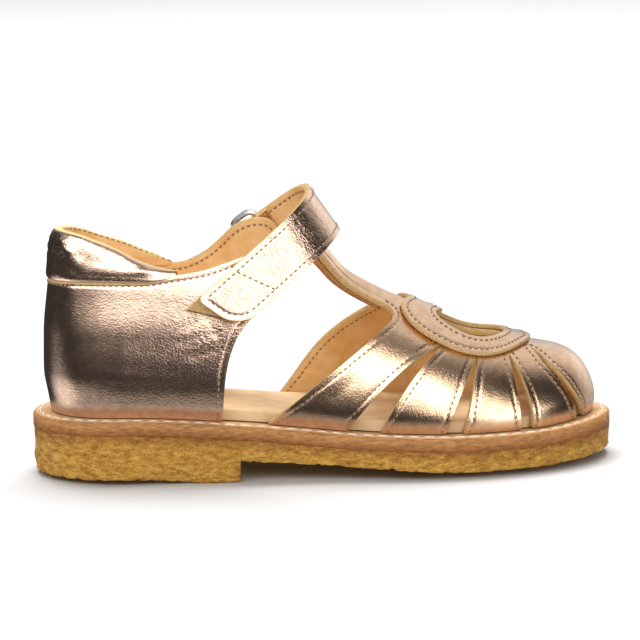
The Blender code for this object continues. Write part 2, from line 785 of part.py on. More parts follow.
def main():
    for thing in list(bpy.data.objects):
        bpy.data.objects.remove(thing, do_unlink=True)
    new_collection(OBJECT_NAME)
    sole_slab(
        "heel_lift", crepe_rubber("heel_crepe"), OUTSOLE_INSET + OUTSOLE_TAPER,
        lambda x: tread_height(x) - GAP, lambda x: heel_tread(x) - EDGE_CLEARANCE,
        HEEL_TAPER - OUTSOLE_TAPER, HEEL_BREAST_X,
    )
    sole_slab(
        "outsole", crepe_rubber("sole_crepe"), OUTSOLE_INSET,
        lambda x: welt_height(x) - MIDSOLE_THICK - GAP, tread_height, OUTSOLE_TAPER, middle=tread_middle,
    )
    sole_slab(
        "midsole", tan_leather("midsole_leather"), 0,
        welt_height, lambda x: welt_height(x) - MIDSOLE_THICK,
    )
    sole_slab(
        "insole", tan_leather("insole_leather"), WELT_MARGIN + LEATHER + GAP,
        lambda x: welt_height(x) + GAP + INSOLE_THICK, lambda x: welt_height(x) + GAP,
    )
    add_vamp(metallic_leather("vamp_leather"))
    add_heart_overlay(metallic_leather("overlay_leather"))
    add_quarter(metallic_leather("quarter_leather"))
    add_collar(metallic_leather("collar_leather"))
    add_ankle_strap(metallic_leather("strap_leather"))
    add_strap_patch(patch_fabric("patch_fabric"))
    add_strap_ring(ring_steel("ring_steel"))
    add_ring_tab(metallic_leather("tab_leather"))


main()
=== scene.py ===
"""Looks of a child's closed-toe T-bar sandal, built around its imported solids.

The pieces repeat the solids' shapes on finer grids, with leather edges, stitches, creases and grain.
Shapes are in millimetres and become metres where meshes are made.
"""
import math

import bmesh
import bpy
import numpy as np
from mathutils import Matrix, Vector
from mathutils.geometry import interpolate_bezier
from mathutils.kdtree import KDTree


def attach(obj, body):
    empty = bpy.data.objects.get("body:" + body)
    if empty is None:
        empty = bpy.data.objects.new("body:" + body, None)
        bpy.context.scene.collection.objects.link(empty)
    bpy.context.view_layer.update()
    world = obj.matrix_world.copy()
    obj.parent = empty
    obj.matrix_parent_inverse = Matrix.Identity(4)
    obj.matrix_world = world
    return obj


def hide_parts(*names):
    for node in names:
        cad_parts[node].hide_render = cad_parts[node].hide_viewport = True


MM = 0.001
GAP = 0.3
MERGE = 0.02
TINY = 1e-9
SIDES = ("lateral", "medial")

# Sole edge seen from above, heel to toe: x, y, heading in degrees, handle behind, handle ahead
SOLE_EDGE = {
    "lateral": (
        (-84, -3, -90, 0, 14.4),
        (-58, -29, 0, 14.4, 14),
        (-14, -28.5, -2, 14, 14),
        (26, -33, 0, 14, 32),
        (84, 5, 90, 21, 0),
    ),
    "medial": (
        (-84, -3, 90, 0, 14.4),
        (-58, 23, 0, 14.4, 14),
        (-18, 21, 4, 14, 16),
        (34, 33, 0, 18, 28),
        (84, 5, -90, 16, 0),
    ),
}
INWARD_TURN = {"lateral": 1, "medial": -1}
EDGE_STEPS = 60

# Heights in the tables start at the sole edge under the forefoot, which stands this far above the floor
EDGE_CLEARANCE = 1.6
# Heights along the sole: x, top of the midsole, underside of the through-sole at its edge and its middle
SOLE_HEIGHTS = (
    (-84, 16.2, 5.2, 5.2),
    (-60, 16.7, 4.9, 4.9),
    (-25, 14.5, 4.1, 4.1),
    (-9, 12.9, 3.2, 3.0),
    (8, 11.4, 2.1, 1.2),
    (28, 10.5, 0.5, -1.0),
    (37, 10.2, 0.0, -EDGE_CLEARANCE),
    (58, 10.1, 0.0, -EDGE_CLEARANCE),
    (84, 11.6, 1.0, 1.0),
)
# Underside of the heel, which lifts towards the back: x, height above the floor
HEEL_TREAD = ((-84, 1.2), (-56, 1.3), (-45, 0.7), (-34, 0.0), (-25, 0.0))
MIDSOLE_THICK = 4.0
OUTSOLE_INSET = 0.2
OUTSOLE_TAPER = 0.2
HEEL_BREAST_X = -25.6
HEEL_TAPER = 0.5
INSOLE_THICK = 3.2
WELT_MARGIN = 5.2
LEATHER = 1.8
# Stations round a sole layer, how far its caps are drawn in, rings that count as its top, steps round an edge
SIDE_STATIONS = 420
BREAST_STATIONS = 60
CAP_INSET = 9.0
TOP_RINGS = 4
CORNER_STEPS = 4
# Rows down the wall of each sole layer, and how far its upper and lower edges are rounded
MIDSOLE_ROWS = 10
MIDSOLE_ROUND = (1.2, 0.2)
OUTSOLE_ROWS = 24
OUTSOLE_ROUND = (0.1, 0.3)
HEEL_ROWS = 16
HEEL_ROUND = (0.1, 0.6)
INSOLE_ROWS = 8
INSOLE_ROUND = (0.5, 0.2)
# How far the heel stands out past the foot of the through-sole, and reaches up into it
HEEL_LEDGE = 0.1
HEEL_OVERLAP = 1.5
# Unevenness of the crepe: depth, then lumps by size, share and seed, and ripples by size and seed
CREPE_DEPTH = 0.5
CREPE_LUMPS = ((9.0, 0.5, 5), (3.0, 0.35, 6), (1.4, 0.25, 7))
CREPE_SWAY = (4.0, 8)
CREPE_TEAR = (2.4, 9)
# Waves that a ripple is summed from, and the range of their lengths as shares of its size
RIPPLE_WAVES = 24
RIPPLE_SPAN = (0.7, 1.7)
# Shares of a layer's depth between which its torn lower edge sets in
TEAR_RANGE = (0.8, 1.0)

# Sections of the vamp: spine x, sole-edge x that the section reaches, roundness of the section
VAMP_SECTIONS = (
    (-20, -54, 1.5),
    (0, -35, 1.5),
    (20, -15, 1.55),
    (26, -2, 1.65),
    (37, 26, 1.9),
    (47, 53, 2.4),
    (58.6, 84, 4.4),
)
# Ridge of the vamp: x, height of its outer face
VAMP_RIDGE = (
    (-10, 75.5),
    (-3.5, 67.6),
    (1.2, 61.6),
    (6.3, 55.6),
    (16.5, 49.3),
    (22, 46.7),
    (34.6, 40.7),
    (47, 36.2),
    (60, 32.3),
    (70, 30.8),
    (84, 28.2),
)
# Middle line of the foot: x, y
MIDDLE_LINE = ((-60, -3.5), (-10, -3.5), (20, -1.8), (45, 1.2), (60, 3.6), (84, 5))
SIDE_ROUNDNESS = 1.9
VAMP_BULGE = 1.3
TUCK_HEIGHT = 7
# Columns of the vamp sheet: spine x at the top, how far the foot trails behind, columns before the next row
VAMP_COLUMNS = (
    (-16, 0, 44),
    (10, 8, 24),
    (20, 12, 24),
    (31, 12, 20),
    (38.7, 8.3, 18),
    (43.7, 3.1, 18),
    (48.4, -0.7, 22),
    (53.2, -3.0, 30),
    (58.6, 0, 0),
)
SWEEP_RISE = 0.62
VAMP_ROWS = 128
ROW_CLOSING = 1.4

# Rear edge of the first strap from the side: height, x
FIRST_STRAP_EDGE = {
    "lateral": ((8, -25), (14.3, -17.1), (27.9, 0.1), (40.2, 16.8), (50, 30)),
    "medial": ((8, -19), (13.4, -14), (18.4, -9.8), (31, 0), (36.5, 6), (42.9, 15), (50, 26)),
}
FIRST_STRAP_SLANT = 0.78
# Half width of the T-bar: x, half width
T_BAR_HALF = ((-10, 5.0), (4, 5.4), (12, 6.2), (18, 7.5), (24, 12))
T_BAR_FILLET = 5
T_BAR_END_X = -7.5
T_BAR_END_ROUND = 4
# Seams stay off the T-bar: they start at this x, or this far from the middle line
BAR_SEAM_X = 17
BAR_SEAM_SIDE = 10
# Slots between the straps: column at the slot's middle, width at the sole, belly, share of rise at the tip
VAMP_SLOTS = (
    (38.7, 9.6, 0.0, 0.63),
    (43.7, 5.8, 0.3, 0.60),
    (48.4, 4.2, 1.7, 0.66),
    (53.2, 4.5, 1.2, 0.84),
)
# How far each side's slots move towards the toe; the photo shows lining through the front outer slot
SLOT_SHIFT = {"lateral": 0, "medial": -4}
SLOT_TIP_ROUND = 0.6
SLOT_CLOSING = 0.5
TIP_FALL = 30
# Heart shapes: middle x, radius, breadth, depth of the cleft, rise of the lobes, rise of the point
HEART_OUTER = (40.9, 18.8, 1.0, 3.4, 2.6, 0.6)
HEART_HOLE = (41.9, 10.6, 1.24, 3.1, 1.0, 0.3)
CLEFT_SPREAD = 0.28
LOBE_ANGLE = 2.62
LOBE_SPREAD = 0.45
POINT_SPREAD = 0.4
OVERLAY_THICK = 1.3
# Folded layer under the T-bar
FOLD_INSET = 0.2
FOLD_END_X = 17
FOLD_GAP = (0.1, 1.6)
FOLD_THICK = 1.3

# Heel wall: height above the welt, bulge at the back, at the sides and at the wings
QUARTER_BULGE = (
    (0, 0, 0, 0),
    (4, 0.6, 1.1, 1.3),
    (12, 1.8, 1.9, 2.2),
    (23, 1.6, 0.6, 1.6),
    (34, 0.5, -2.1, -0.5),
    (44, -0.9, -4.7, -3.5),
    (60, -2.6, -8.8, -8.0),
)
# Range of x over which the back turns into the sides, and the sides into the wings
SIDE_BLEND = (-80, -60)
WING_BLEND = (-70, -26)
# Top edge of the quarter: x, height
QUARTER_TOP = {
    "lateral": (
        (-84, 54.9), (-67, 55.8), (-52, 55.6), (-43, 56.7),
        (-35.5, 57.8), (-29.5, 59.5), (-20, 62.5), (-8, 65),
    ),
    "medial": (
        (-84, 54.9), (-67, 56.0), (-52, 55.5), (-41, 55.9), (-34, 58.7),
        (-29, 62.8), (-25, 66.7), (-21, 68.6), (-17.5, 69.1), (-8, 69.1),
    ),
}
# Front edge of the quarter: height, x
QUARTER_FRONT = {
    "lateral": (
        (14, -30.6), (27, -29.6), (30.5, -29), (38, -26.6),
        (43.6, -22.8), (52.3, -12.7), (57, -8.0), (70, -5),
    ),
    "medial": (
        (14, -30.6), (27, -29.6), (30.5, -29), (38, -26.6),
        (43.6, -22.8), (52.3, -14.5), (60, -11.5), (70, -11.5),
    ),
}
WING_ROUND = 7
QUARTER_REACH = 100
QUARTER_HEIGHT = 57
QUARTER_COLUMNS = 250
QUARTER_ROWS = 72
# Bare strip along the top of the quarter: width, and x where it ends and where it is full
RAW_BAND = 1.2
RAW_BAND_END = (-40, -50)

# Top edge of the collar: x, height
COLLAR_TOP = {
    "lateral": (
        (-84, 68.7), (-76, 69.0), (-71.5, 68.5), (-65, 66.6), (-60, 64.6),
        (-54, 61.3), (-48, 59.0), (-42, 57.9), (-38, 57.7),
    ),
    "medial": (
        (-84, 68.7), (-76, 68.6), (-70, 67.3), (-65, 65.6), (-57.3, 62.9),
        (-49.7, 59.4), (-42, 56.3), (-38, 56.2),
    ),
}
COLLAR_END_X = -42
COLLAR_HALF_THICK = 2.2
COLLAR_INWARD = 1.2
COLLAR_BOXY = 0.58
COLLAR_CLOSING = 10
COLLAR_END_SHARE = 0.12
COLLAR_COLUMNS = 180
COLLAR_ROWS = 64
COLLAR_SAG = 0.3
# Angles round the roll from its outer side, in radians: where the lining starts, where it is stitched
COLLAR_FOLD = 1.3
COLLAR_SEAM = 2.1
COLLAR_OVERLAP = 0.7

# Ankle strap: an arch in a plane that leans back, and straight legs below it
STRAP_CREST = (0.8, -3.5, 73.1)
STRAP_LEAN = 39.5
MEDIAL_LEAN = 5.0
CREST_TWIST = 5.0
STRAP_SPLAY = 0.12
STRAP_THICK = 2.0
# Half width of the strap: distance from its lateral end, half width
STRAP_HALF = ((0, 7.0), (30, 7.0), (62, 7.5), (84, 7.2), (120, 7.2))
ARCH_HALF = {"lateral": 20.6, "medial": 22.8}
ARCH_RISE = 17.0
ARCH_FULLNESS = {"lateral": 1.0, "medial": 0.45}
STRAP_END_DROP = 43.3
STRAP_FLARE = 5.4
ARCH_STEPS = 90
LEG_STEPS = 50
STRAP_ROWS = 32
STRAP_END_ROUND = {"rear": 2.0, "front": 6.4}
STRAP_END_SKEW = 0.27

# Stitched line across the strap: distance from the end at its middle, slant
CROSS_SEAM = (16.1, 0.465)
CROSS_SEAM_TRIM = 5

RING_WIRE = 1.0
RING_TOP_DROP = 17.8
RING_LENGTH = 7.7
HOOK_TAIL = 3.4
HOOK_STEPS = 24
HOOK_CLOSING = 0.6
TAIL_STEPS = 10

TAB_HALF_WIDTH = 5.0
TAB_LENGTH = 11
TAB_THICK = 1.2
TAB_CLOSING = 1.9

PATCH_THICK = 1.0
PATCH_SPAN = (22, 47.5)
PATCH_SKEW = 0.75
PATCH_HALF_WIDTH = 6.2
PATCH_COLUMNS = 60
PATCH_ROWS = 30

# Cut edge of leather: share of the depth, how far it swells outwards
RIM_PROFILE = ((0.12, 0.1), (0.5, 0.16), (0.88, 0.1))
# Stitches on the leather: inset from the edge, pitch, length, radius
SEAM_INSET = 1.6
SEAM_PITCH = 1.75
SEAM_LENGTH = 1.3
SEAM_RADIUS = 0.24
WELT_STITCH_INSET = 2.0
WELT_STITCH_PITCH = 4.3
WELT_STITCH_LENGTH = 3.5
WELT_STITCH_RADIUS = 0.23
STITCH_RINGS = 5
STITCH_SIDES = 6
# Form of a stitch: bluntness of its ends, height of its middle and drop of its ends, in radii
STITCH_BLUNT = 3
STITCH_LIFT = 0.35
STITCH_BOW = 0.9
# Height above the welt from which a border has a seam, and edge distance of a piece without such a border
WELT_CLEARANCE = 1.0
FAR_FROM_EDGE = 100.0

# Fine creases in the foil: size, width as a share of the noise, depth
CREASE_SIZE = 1.2
CREASE_WIDTH = 0.07
CREASE_DEPTH = 0.03
# Bumps of the foil, tan leather, cut edges, midsole, crepe, thread and loops: size, height
PEBBLE = (0.55, 0.024)
GRAIN = (0.35, 0.018)
SWELL = (9.0, 0.03)
TAN_PEBBLE = (0.5, 0.03)
TAN_SWELL = (3.0, 0.1)
FIBRE = (0.7, 0.15)
MIDSOLE_FIBRE = (0.7, 0.2)
CRUMB = (1.6, 0.7)
SPECK = (0.5, 0.12)
PIT = (1.3, 0.25)
STRAND = (0.25, 0.1)
LOOP = (0.5, -0.3)
FUZZ = (0.3, 0.2)
# Sizes of soft changes of tone
FOIL_MOTTLE = 2.2
TAN_MOTTLE = 5.0
STEEL_MARKS = 0.8
FLOOR_MOTTLE = 400.0
# Scale of coordinates along x, y and z, where a grain is not as long as it is high
MIDSOLE_STRETCH = (0.25, 0.25, 1)
CRUMB_STRETCH = (0.45, 0.45, 1.2)
PIT_STRETCH = (1, 1, 1.6)
STEEL_STRETCH = (1, 1, 4)
# Furrow along a seam in the foil and in the lining: width, depth
FOIL_FURROW = (0.5, 0.1)
LINING_FURROW = (0.35, 0.12)
# Roughness of the foil and the steel: least, and what the grain adds
FOIL_ROUGH = (0.14, 0.12)
STEEL_ROUGH = (0.2, 0.2)
# Shares of a noise where the dark tone ends and the light tone starts, and pairs of such tones
TONE_RANGE = (0.3, 0.7)
FOIL_GOLD = ((0.70, 0.455, 0.28), (0.86, 0.585, 0.39))
FOIL_ROSE = ((0.70, 0.47, 0.335), (0.86, 0.605, 0.46))
RAW_TONES = ((0.42, 0.27, 0.10), (0.64, 0.47, 0.24))
LINING_TONES = ((0.80, 0.48, 0.18), (0.92, 0.64, 0.33))
EDGE_TONES = ((0.40, 0.25, 0.09), (0.62, 0.45, 0.22))
# Cut edge of the layer under the T-bar: a darker, redder copy of the cut-edge tones, painted shade for an
# edge that sits in the shadow under the T-bar and the strap
FOLD_EDGE_SHADE_TONES = ((0.26, 0.10, 0.03), (0.46, 0.22, 0.08))
INSOLE_TONES = ((0.66, 0.46, 0.24), (0.78, 0.58, 0.35))
WELT_TONES = ((0.54, 0.31, 0.14), (0.70, 0.45, 0.23))
SEAM_THREAD_TONES = ((0.22, 0.14, 0.085), (0.42, 0.29, 0.19))
WELT_THREAD_TONES = ((0.82, 0.79, 0.73), (0.98, 0.96, 0.92))
MIDSOLE_UPPER = ((0.26, 0.105, 0.03), (0.62, 0.31, 0.115))
MIDSOLE_LOWER = ((0.13, 0.038, 0.009), (0.38, 0.14, 0.036))
STEEL_TONES = ((0.85, 0.85, 0.85), (0.95, 0.95, 0.94))
# Colour stops of the loops and the floor: tone, colour
LOOP_STOPS = ((0.2, (0.66, 0.45, 0.25)), (0.8, (0.36, 0.23, 0.12)))
FLOOR_STOPS = ((0.0, (0.66, 0.66, 0.66)), (1.0, (0.69, 0.69, 0.69)))
# Duller foot of the leather beside the welt: heights where it starts and is full, added roughness
FOOT_REACH = (5.0, 1.5)
FOOT_HAZE = 0.3
# Ragged edge of the bare strip: size, share, range over which it shows, added roughness
RAW_RAG = (1.5, 0.5)
RAW_RANGE = (0.7, 0.76)
RAW_HAZE = 0.5
# Shares of a layer's depth between which its tone changes
MIDSOLE_RANGE = (0.3, 0.95)
CREPE_RANGE = (0.1, 0.6)
# Tone of the crepe from its crumbs and specks: their shares, shift
CREPE_MIX = (1.25, 0.35, -0.3)
# Colour stops of the crepe: tone, colour
CREPE_TOP = ((0.25, (0.15, 0.055, 0.008)), (0.5, (0.34, 0.145, 0.024)), (0.75, (0.56, 0.28, 0.055)))
CREPE_LOW = ((0.25, (0.22, 0.09, 0.01)), (0.5, (0.52, 0.26, 0.038)), (0.75, (0.80, 0.49, 0.11)))
# Shares of a crease's length between which it sets in at each end
CREASE_ENDS = ((-0.2, 0.25), (1.2, 0.75))
# Soft troughs and ridges in the leather, side view: x, z at each end, width, depth
QUARTER_CREASES = (
    (-41, 42, -30, 47, 0.9, 0.12),
    (-43, 38, -30, 41, 0.9, 0.1),
    (-40, 34, -29.5, 36.5, 1.0, 0.1),
    (-36, 47.5, -30, 38, 0.8, 0.1),
    (-66, 33, -38, 29, 2.2, 0.08),
    (-62, 27, -34, 26, 1.8, 0.07),
)
COLLAR_CREASES = (
    (-83, 64.5, -71, 63.5, 1.1, 0.35),
    (-83, 61, -69, 61, 0.9, 0.3),
    (-82, 66.5, -72, 66, 0.8, 0.22),
    (-75, 67, -69, 59, 1.2, 0.2),
    (-70, 59, -46, 57.8, 0.9, 0.3),
)
STRAP_CREASES = (
    (-11.5, 72, -6, 66, 0.3, 0.04),
    (-10, 73, -1.5, 63, 0.35, 0.05),
    (-8.5, 74.5, 0, 65, 0.35, 0.04),
    (-6.5, 75.5, 1, 68, 0.35, 0.04),
)
VAMP_CREASES = (
    (20, 41, 33, 34, 1.4, 0.16),
    (24, 42.5, 36, 36, 1.3, 0.14),
    (-2, 20, 8, 27, 1.5, 0.12),
)
# Where fine creases gather, side view: x, z, radius, strength
QUARTER_SPOTS = ((-34, 42, 9, 1.3), (-46, 34, 20, 0.3), (-60, 48, 26, 0.12))
COLLAR_SPOTS = ((-80, 63, 9, 2.5), (-66, 59, 12, 0.8))
STRAP_SPOTS = ((-9, 66, 9, 1.5), (-30, 50, 7, 0.5), (-20, 58, 30, 0.15))
VAMP_SPOTS = ((24, 41, 9, 0.9), (40, 34, 16, 0.4), (60, 26, 18, 0.25), (0, 22, 16, 0.25))

# Camera: place round the shoe in degrees, distance and aim in millimetres
CAMERA_AZIMUTH = -4.0
CAMERA_ELEVATION = 9.0
CAMERA_ROLL = 0.757
CAMERA_DISTANCE = 1000.0
CAMERA_AIM = (0, 0, 38 + EDGE_CLEARANCE)
CAMERA_SLIDE = (-0.82, 1.81)
CAMERA_LENS = 194.7
SENSOR_WIDTH = 36.0
# Near end of the camera's view and side of the floor, in metres
CAMERA_CLIP = 0.05
FLOOR_SIZE = 12.0
# Softboxes seen from the shoe: azimuth, elevation, roll, half width and half height in degrees,
# soft edge as a tangent, brightness
SOFTBOXES = (
    (-28, 42, 0, 44, 17, 0.2, 3.6),
    (-40, 27, 0, 26, 14, 0.3, 0.36),
    (36.5, 8, 40, 25.5, 19, 0.11, 2.4),
    (49, -12, 0, 9, 12, 0.12, 1.8),
)
# Broad glows: direction, cosine where the glow starts and where it is full, brightness
GLOWS = (
    ((0.25, 0.65, 0.72), 0.5, 0.95, 0.88),
    ((-0.76, 0.28, -0.59), 0.84, 0.98, 0.9),
    ((-0.1, 0.0, -0.995), 0.36, 0.6, 0.55),
    ((0.75, 0.66, -0.05), 0.8, 0.98, 0.5),
    ((-0.78, 0.1, 0.62), 0.88, 0.99, 0.25),
    ((0.05, -0.3, 0.95), 0.8, 0.96, 0.2),
)
ROOM_GLOW = 0.04
# Share of the studio's light that matt surfaces get; the lamp gives them the rest
STUDIO_SHARE = 0.5
# Lamp: place and side in metres, power in watts
LAMP_PLACE = (0, 0.9, 2.2)
LAMP_SIZE = 1.6
LAMP_POWER = 80.0

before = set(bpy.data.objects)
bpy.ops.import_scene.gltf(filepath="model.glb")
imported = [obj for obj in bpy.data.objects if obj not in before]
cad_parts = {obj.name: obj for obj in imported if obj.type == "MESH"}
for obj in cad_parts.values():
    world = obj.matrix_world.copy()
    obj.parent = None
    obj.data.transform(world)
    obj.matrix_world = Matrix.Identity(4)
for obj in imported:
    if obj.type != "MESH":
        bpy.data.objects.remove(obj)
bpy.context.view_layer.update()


def smooth_table(rows, column=1):
    """Return a function that runs smoothly through one column of a table, without overshoot."""
    x = np.array([row[0] for row in rows], float)
    y = np.array([row[column] for row in rows], float)
    step = np.diff(x)
    rise = np.diff(y) / step
    slope = np.zeros(len(x))
    for i in range(1, len(x) - 1):
        if rise[i - 1] * rise[i] > 0:
            before = 2 * step[i] + step[i - 1]
            after = step[i] + 2 * step[i - 1]
            slope[i] = (before + after) / (before / rise[i - 1] + after / rise[i])
    slope[0] = rise[0]
    slope[-1] = rise[-1]

    def value(at):
        i = np.clip(np.searchsorted(x, at) - 1, 0, len(step) - 1)
        t = np.clip((at - x[i]) / step[i], 0.0, 1.0)
        start = (1 + 2 * t) * (1 - t) ** 2 * y[i] + t * (1 - t) ** 2 * step[i] * slope[i]
        end = t * t * (3 - 2 * t) * y[i + 1] - t * t * (1 - t) * step[i] * slope[i + 1]
        return start + end

    return value


def smooth_step(low, high, value):
    t = np.clip((value - low) / (high - low), 0.0, 1.0)
    return t * t * (3 - 2 * t)


def blended_min(a, b, reach):
    """Smaller of two distances, rounded where they meet."""
    share = np.maximum(reach - np.abs(a - b), 0.0) / reach
    return np.minimum(a, b) - share * share * reach / 4


def blended_max(a, b, reach):
    return -blended_min(-a, -b, reach)


def spread(share, low, high):
    """Map a share from -1 to 1 onto a range."""
    return low + (high - low) * (share + 1) / 2


def ripples(points, size, seed):
    """Smooth seeded unevenness with bumps of about one size, mostly between -1 and 1."""
    rng = np.random.default_rng(seed)
    heading = rng.normal(size=(RIPPLE_WAVES, 3))
    heading /= np.linalg.norm(heading, axis=1, keepdims=True)
    length = size * rng.uniform(*RIPPLE_SPAN, RIPPLE_WAVES)
    phase = rng.uniform(0, 2 * math.pi, RIPPLE_WAVES)
    turns = points @ (heading / length[:, None]).T * 2 * math.pi + phase
    return np.sin(turns).sum(axis=1) / math.sqrt(2 * RIPPLE_WAVES)


welt_height = smooth_table(SOLE_HEIGHTS, 1)
tread_height = smooth_table(SOLE_HEIGHTS, 2)
tread_middle = smooth_table(SOLE_HEIGHTS, 3)
heel_tread = smooth_table(HEEL_TREAD)
section_base_x = smooth_table(VAMP_SECTIONS, 1)
section_roundness = smooth_table(VAMP_SECTIONS, 2)
ridge_height = smooth_table(VAMP_RIDGE)
middle_y = smooth_table(MIDDLE_LINE)
first_strap_x = {side: smooth_table(rows) for side, rows in FIRST_STRAP_EDGE.items()}
t_bar_half = smooth_table(T_BAR_HALF)
column_sweep = smooth_table(VAMP_COLUMNS)
strap_half = smooth_table(STRAP_HALF)
back_bulge = smooth_table(QUARTER_BULGE, 1)
side_bulge = smooth_table(QUARTER_BULGE, 2)
wing_bulge = smooth_table(QUARTER_BULGE, 3)
quarter_top = {side: smooth_table(rows) for side, rows in QUARTER_TOP.items()}
quarter_front_x = {side: smooth_table(rows) for side, rows in QUARTER_FRONT.items()}
collar_top = {side: smooth_table(rows) for side, rows in COLLAR_TOP.items()}


class SoleEdge:
    """One side of the sole edge, from the heel to the toe."""

    def __init__(self, side):
        rows = SOLE_EDGE[side]
        points = []
        for start, end in zip(rows, rows[1:]):
            points += self.arc(start, end)[:-1]
        points.append(Vector((rows[-1][0], rows[-1][1], 0)))
        self.points = np.array([(point.x, point.y) for point in points])
        self.length = np.append(0, np.cumsum(np.hypot(*np.diff(self.points, axis=0).T)))
        ahead = np.gradient(self.points, self.length, axis=0)
        ahead[0] = self.heading(rows[0])
        ahead[-1] = self.heading(rows[-1])
        turn = INWARD_TURN[side]
        self.inward = np.stack((-turn * ahead[:, 1], turn * ahead[:, 0]), axis=1)

    @staticmethod
    def heading(row):
        angle = math.radians(row[2])
        return math.cos(angle), math.sin(angle)

    def arc(self, start, end):
        first = Vector((start[0], start[1], 0))
        last = Vector((end[0], end[1], 0))
        leave = first + Vector((*self.heading(start), 0)) * start[4]
        reach = last - Vector((*self.heading(end), 0)) * end[3]
        return interpolate_bezier(first, leave, reach, last, EDGE_STEPS + 1)

    def length_at(self, x):
        return np.interp(x, self.points[:, 0], self.length)

    def at(self, length, inset):
        """Point on the edge moved inwards by the inset."""
        point = [np.interp(length, self.length, self.points[:, i]) for i in (0, 1)]
        inward = [np.interp(length, self.length, self.inward[:, i]) for i in (0, 1)]
        return point[0] + inward[0] * inset, point[1] + inward[1] * inset


EDGES = {side: SoleEdge(side) for side in SIDES}


def by_side(signed, work):
    """Value of work(side), lateral where signed is below zero and medial elsewhere."""
    lateral, medial = (work(side) for side in SIDES)
    below = signed < 0
    return np.where(below[:, None] if np.ndim(lateral) > 1 else below, lateral, medial)


class Sheet:
    """Cut sheet: its points, outward directions, flat coordinates, faces and border edges."""

    def __init__(self, bm, flat_layers):
        bm.normal_update()
        bm.verts.index_update()
        self.points = np.array([vert.co for vert in bm.verts])
        self.flat = np.array([[vert[layer] for layer in flat_layers] for vert in bm.verts])
        self.normals = np.array([vert.normal for vert in bm.verts])
        self.faces = [[vert.index for vert in face.verts] for face in bm.faces]
        loops = [edge.link_loops[0] for edge in bm.edges if edge.is_boundary]
        self.border = [(loop.vert.index, loop.link_loop_next.vert.index) for loop in loops]
        bm.free()

    def edge_distance(self, wanted=None):
        """Distance of every point from the border, or from those border points that are wanted."""
        border = {index for edge in self.border for index in edge}
        rim = sorted(index for index in border if wanted is None or wanted[index])
        tree = KDTree(len(rim))
        for index in rim:
            tree.insert(self.points[index], index)
        tree.balance()
        return np.array([tree.find(point)[2] for point in self.points])

    def inner(self, thickness):
        return self.points - self.normals * thickness


def cut_sheet(columns, rows, warp, outside, place):
    """Grid warped to two sheet coordinates, cut where outside() is zero and laid in space by place()."""
    bm = bmesh.new()
    flat_layers = [bm.verts.layers.float.new(label) for label in ("first", "second")]
    bmesh.ops.create_grid(bm, x_segments=columns, y_segments=rows, size=1)
    shares = np.array([vert.co for vert in bm.verts])
    first, second = warp(shares[:, 0], shares[:, 1])
    for vert, a, b in zip(bm.verts, first, second):
        vert.co = (a, b, 0)
    if outside:
        value = dict(zip(bm.verts, outside(first, second)))
        on_line = []
        for edge in bm.edges[:]:
            start, end = edge.verts
            if value[start] * value[end] < 0:
                share = value[start] / (value[start] - value[end])
                cut = bmesh.utils.edge_split(edge, start, share)[1]
                value[cut] = 0.0
                on_line.append(cut)
        bmesh.ops.connect_verts(bm, verts=on_line)
        waste = [face for face in bm.faces if sum(value[vert] for vert in face.verts) > 0]
        bmesh.ops.delete(bm, geom=waste, context="FACES")
    flat = np.array([vert.co for vert in bm.verts])
    for vert, point in zip(bm.verts, place(flat[:, 0], flat[:, 1])):
        for layer, value in zip(flat_layers, vert.co):
            vert[layer] = value
        vert.co = point
    bmesh.ops.remove_doubles(bm, verts=bm.verts, dist=MERGE)
    return Sheet(bm, flat_layers)


def press(points, normals, creases):
    """Points with soft troughs and ridges pressed along lines that are given in the side view."""
    sunk = np.zeros(len(points))
    for x0, z0, x1, z1, width, depth in creases:
        start = np.array((x0, z0))
        run = np.array((x1, z1)) - start
        length = np.hypot(*run)
        offset = points[:, (0, 2)] - start
        share = offset @ run / length ** 2
        aside = (offset[:, 0] * run[1] - offset[:, 1] * run[0]) / length
        ends = smooth_step(*CREASE_ENDS[0], share) * smooth_step(*CREASE_ENDS[1], share)
        sunk += depth * ends * np.exp(-((aside / width) ** 2))
    return points - normals * sunk[:, None]


def spots(points, rows):
    """Field from 0 to 1 that is high near spots given in the side view: x, z, radius, strength."""
    field = np.zeros(len(points))
    for x, z, radius, strength in rows:
        distance = np.hypot(points[:, 0] - x, points[:, 2] - z)
        field = np.maximum(field, strength * np.exp(-((distance / radius) ** 2)))
    return field


def add_mesh(name, points, faces, materials, face_materials=None, fields=None, sharp=()):
    """Object from points in millimetres, with its materials, point fields and sharp edges."""
    mesh = bpy.data.meshes.new(name)
    mesh.from_pydata((np.asarray(points) + (0, 0, EDGE_CLEARANCE)) * MM, [], faces)
    for material in materials:
        mesh.materials.append(material)
    mesh.polygons.foreach_set("use_smooth", np.ones(len(faces), bool))
    if face_materials is not None:
        mesh.polygons.foreach_set("material_index", np.asarray(face_materials, np.int32))
    for label, values in (fields or {}).items():
        attribute = mesh.attributes.new(label, "FLOAT", "POINT")
        attribute.data.foreach_set("value", np.asarray(values, np.float32))
    if sharp:
        wanted = {tuple(sorted(edge)) for edge in sharp}
        marks = [tuple(sorted(edge.vertices)) in wanted for edge in mesh.edges]
        mesh.attributes.new("sharp_edge", "BOOLEAN", "EDGE").data.foreach_set("value", marks)
    mesh.update()
    thing = bpy.data.objects.new(name, mesh)
    bpy.context.scene.collection.objects.link(thing)
    return thing


def settle(thing, slot, *nodes):
    """Let a piece ride with the shoe and stand for its solids, which it hides."""
    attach(thing, "root")
    if nodes:
        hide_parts(*nodes)
    return thing


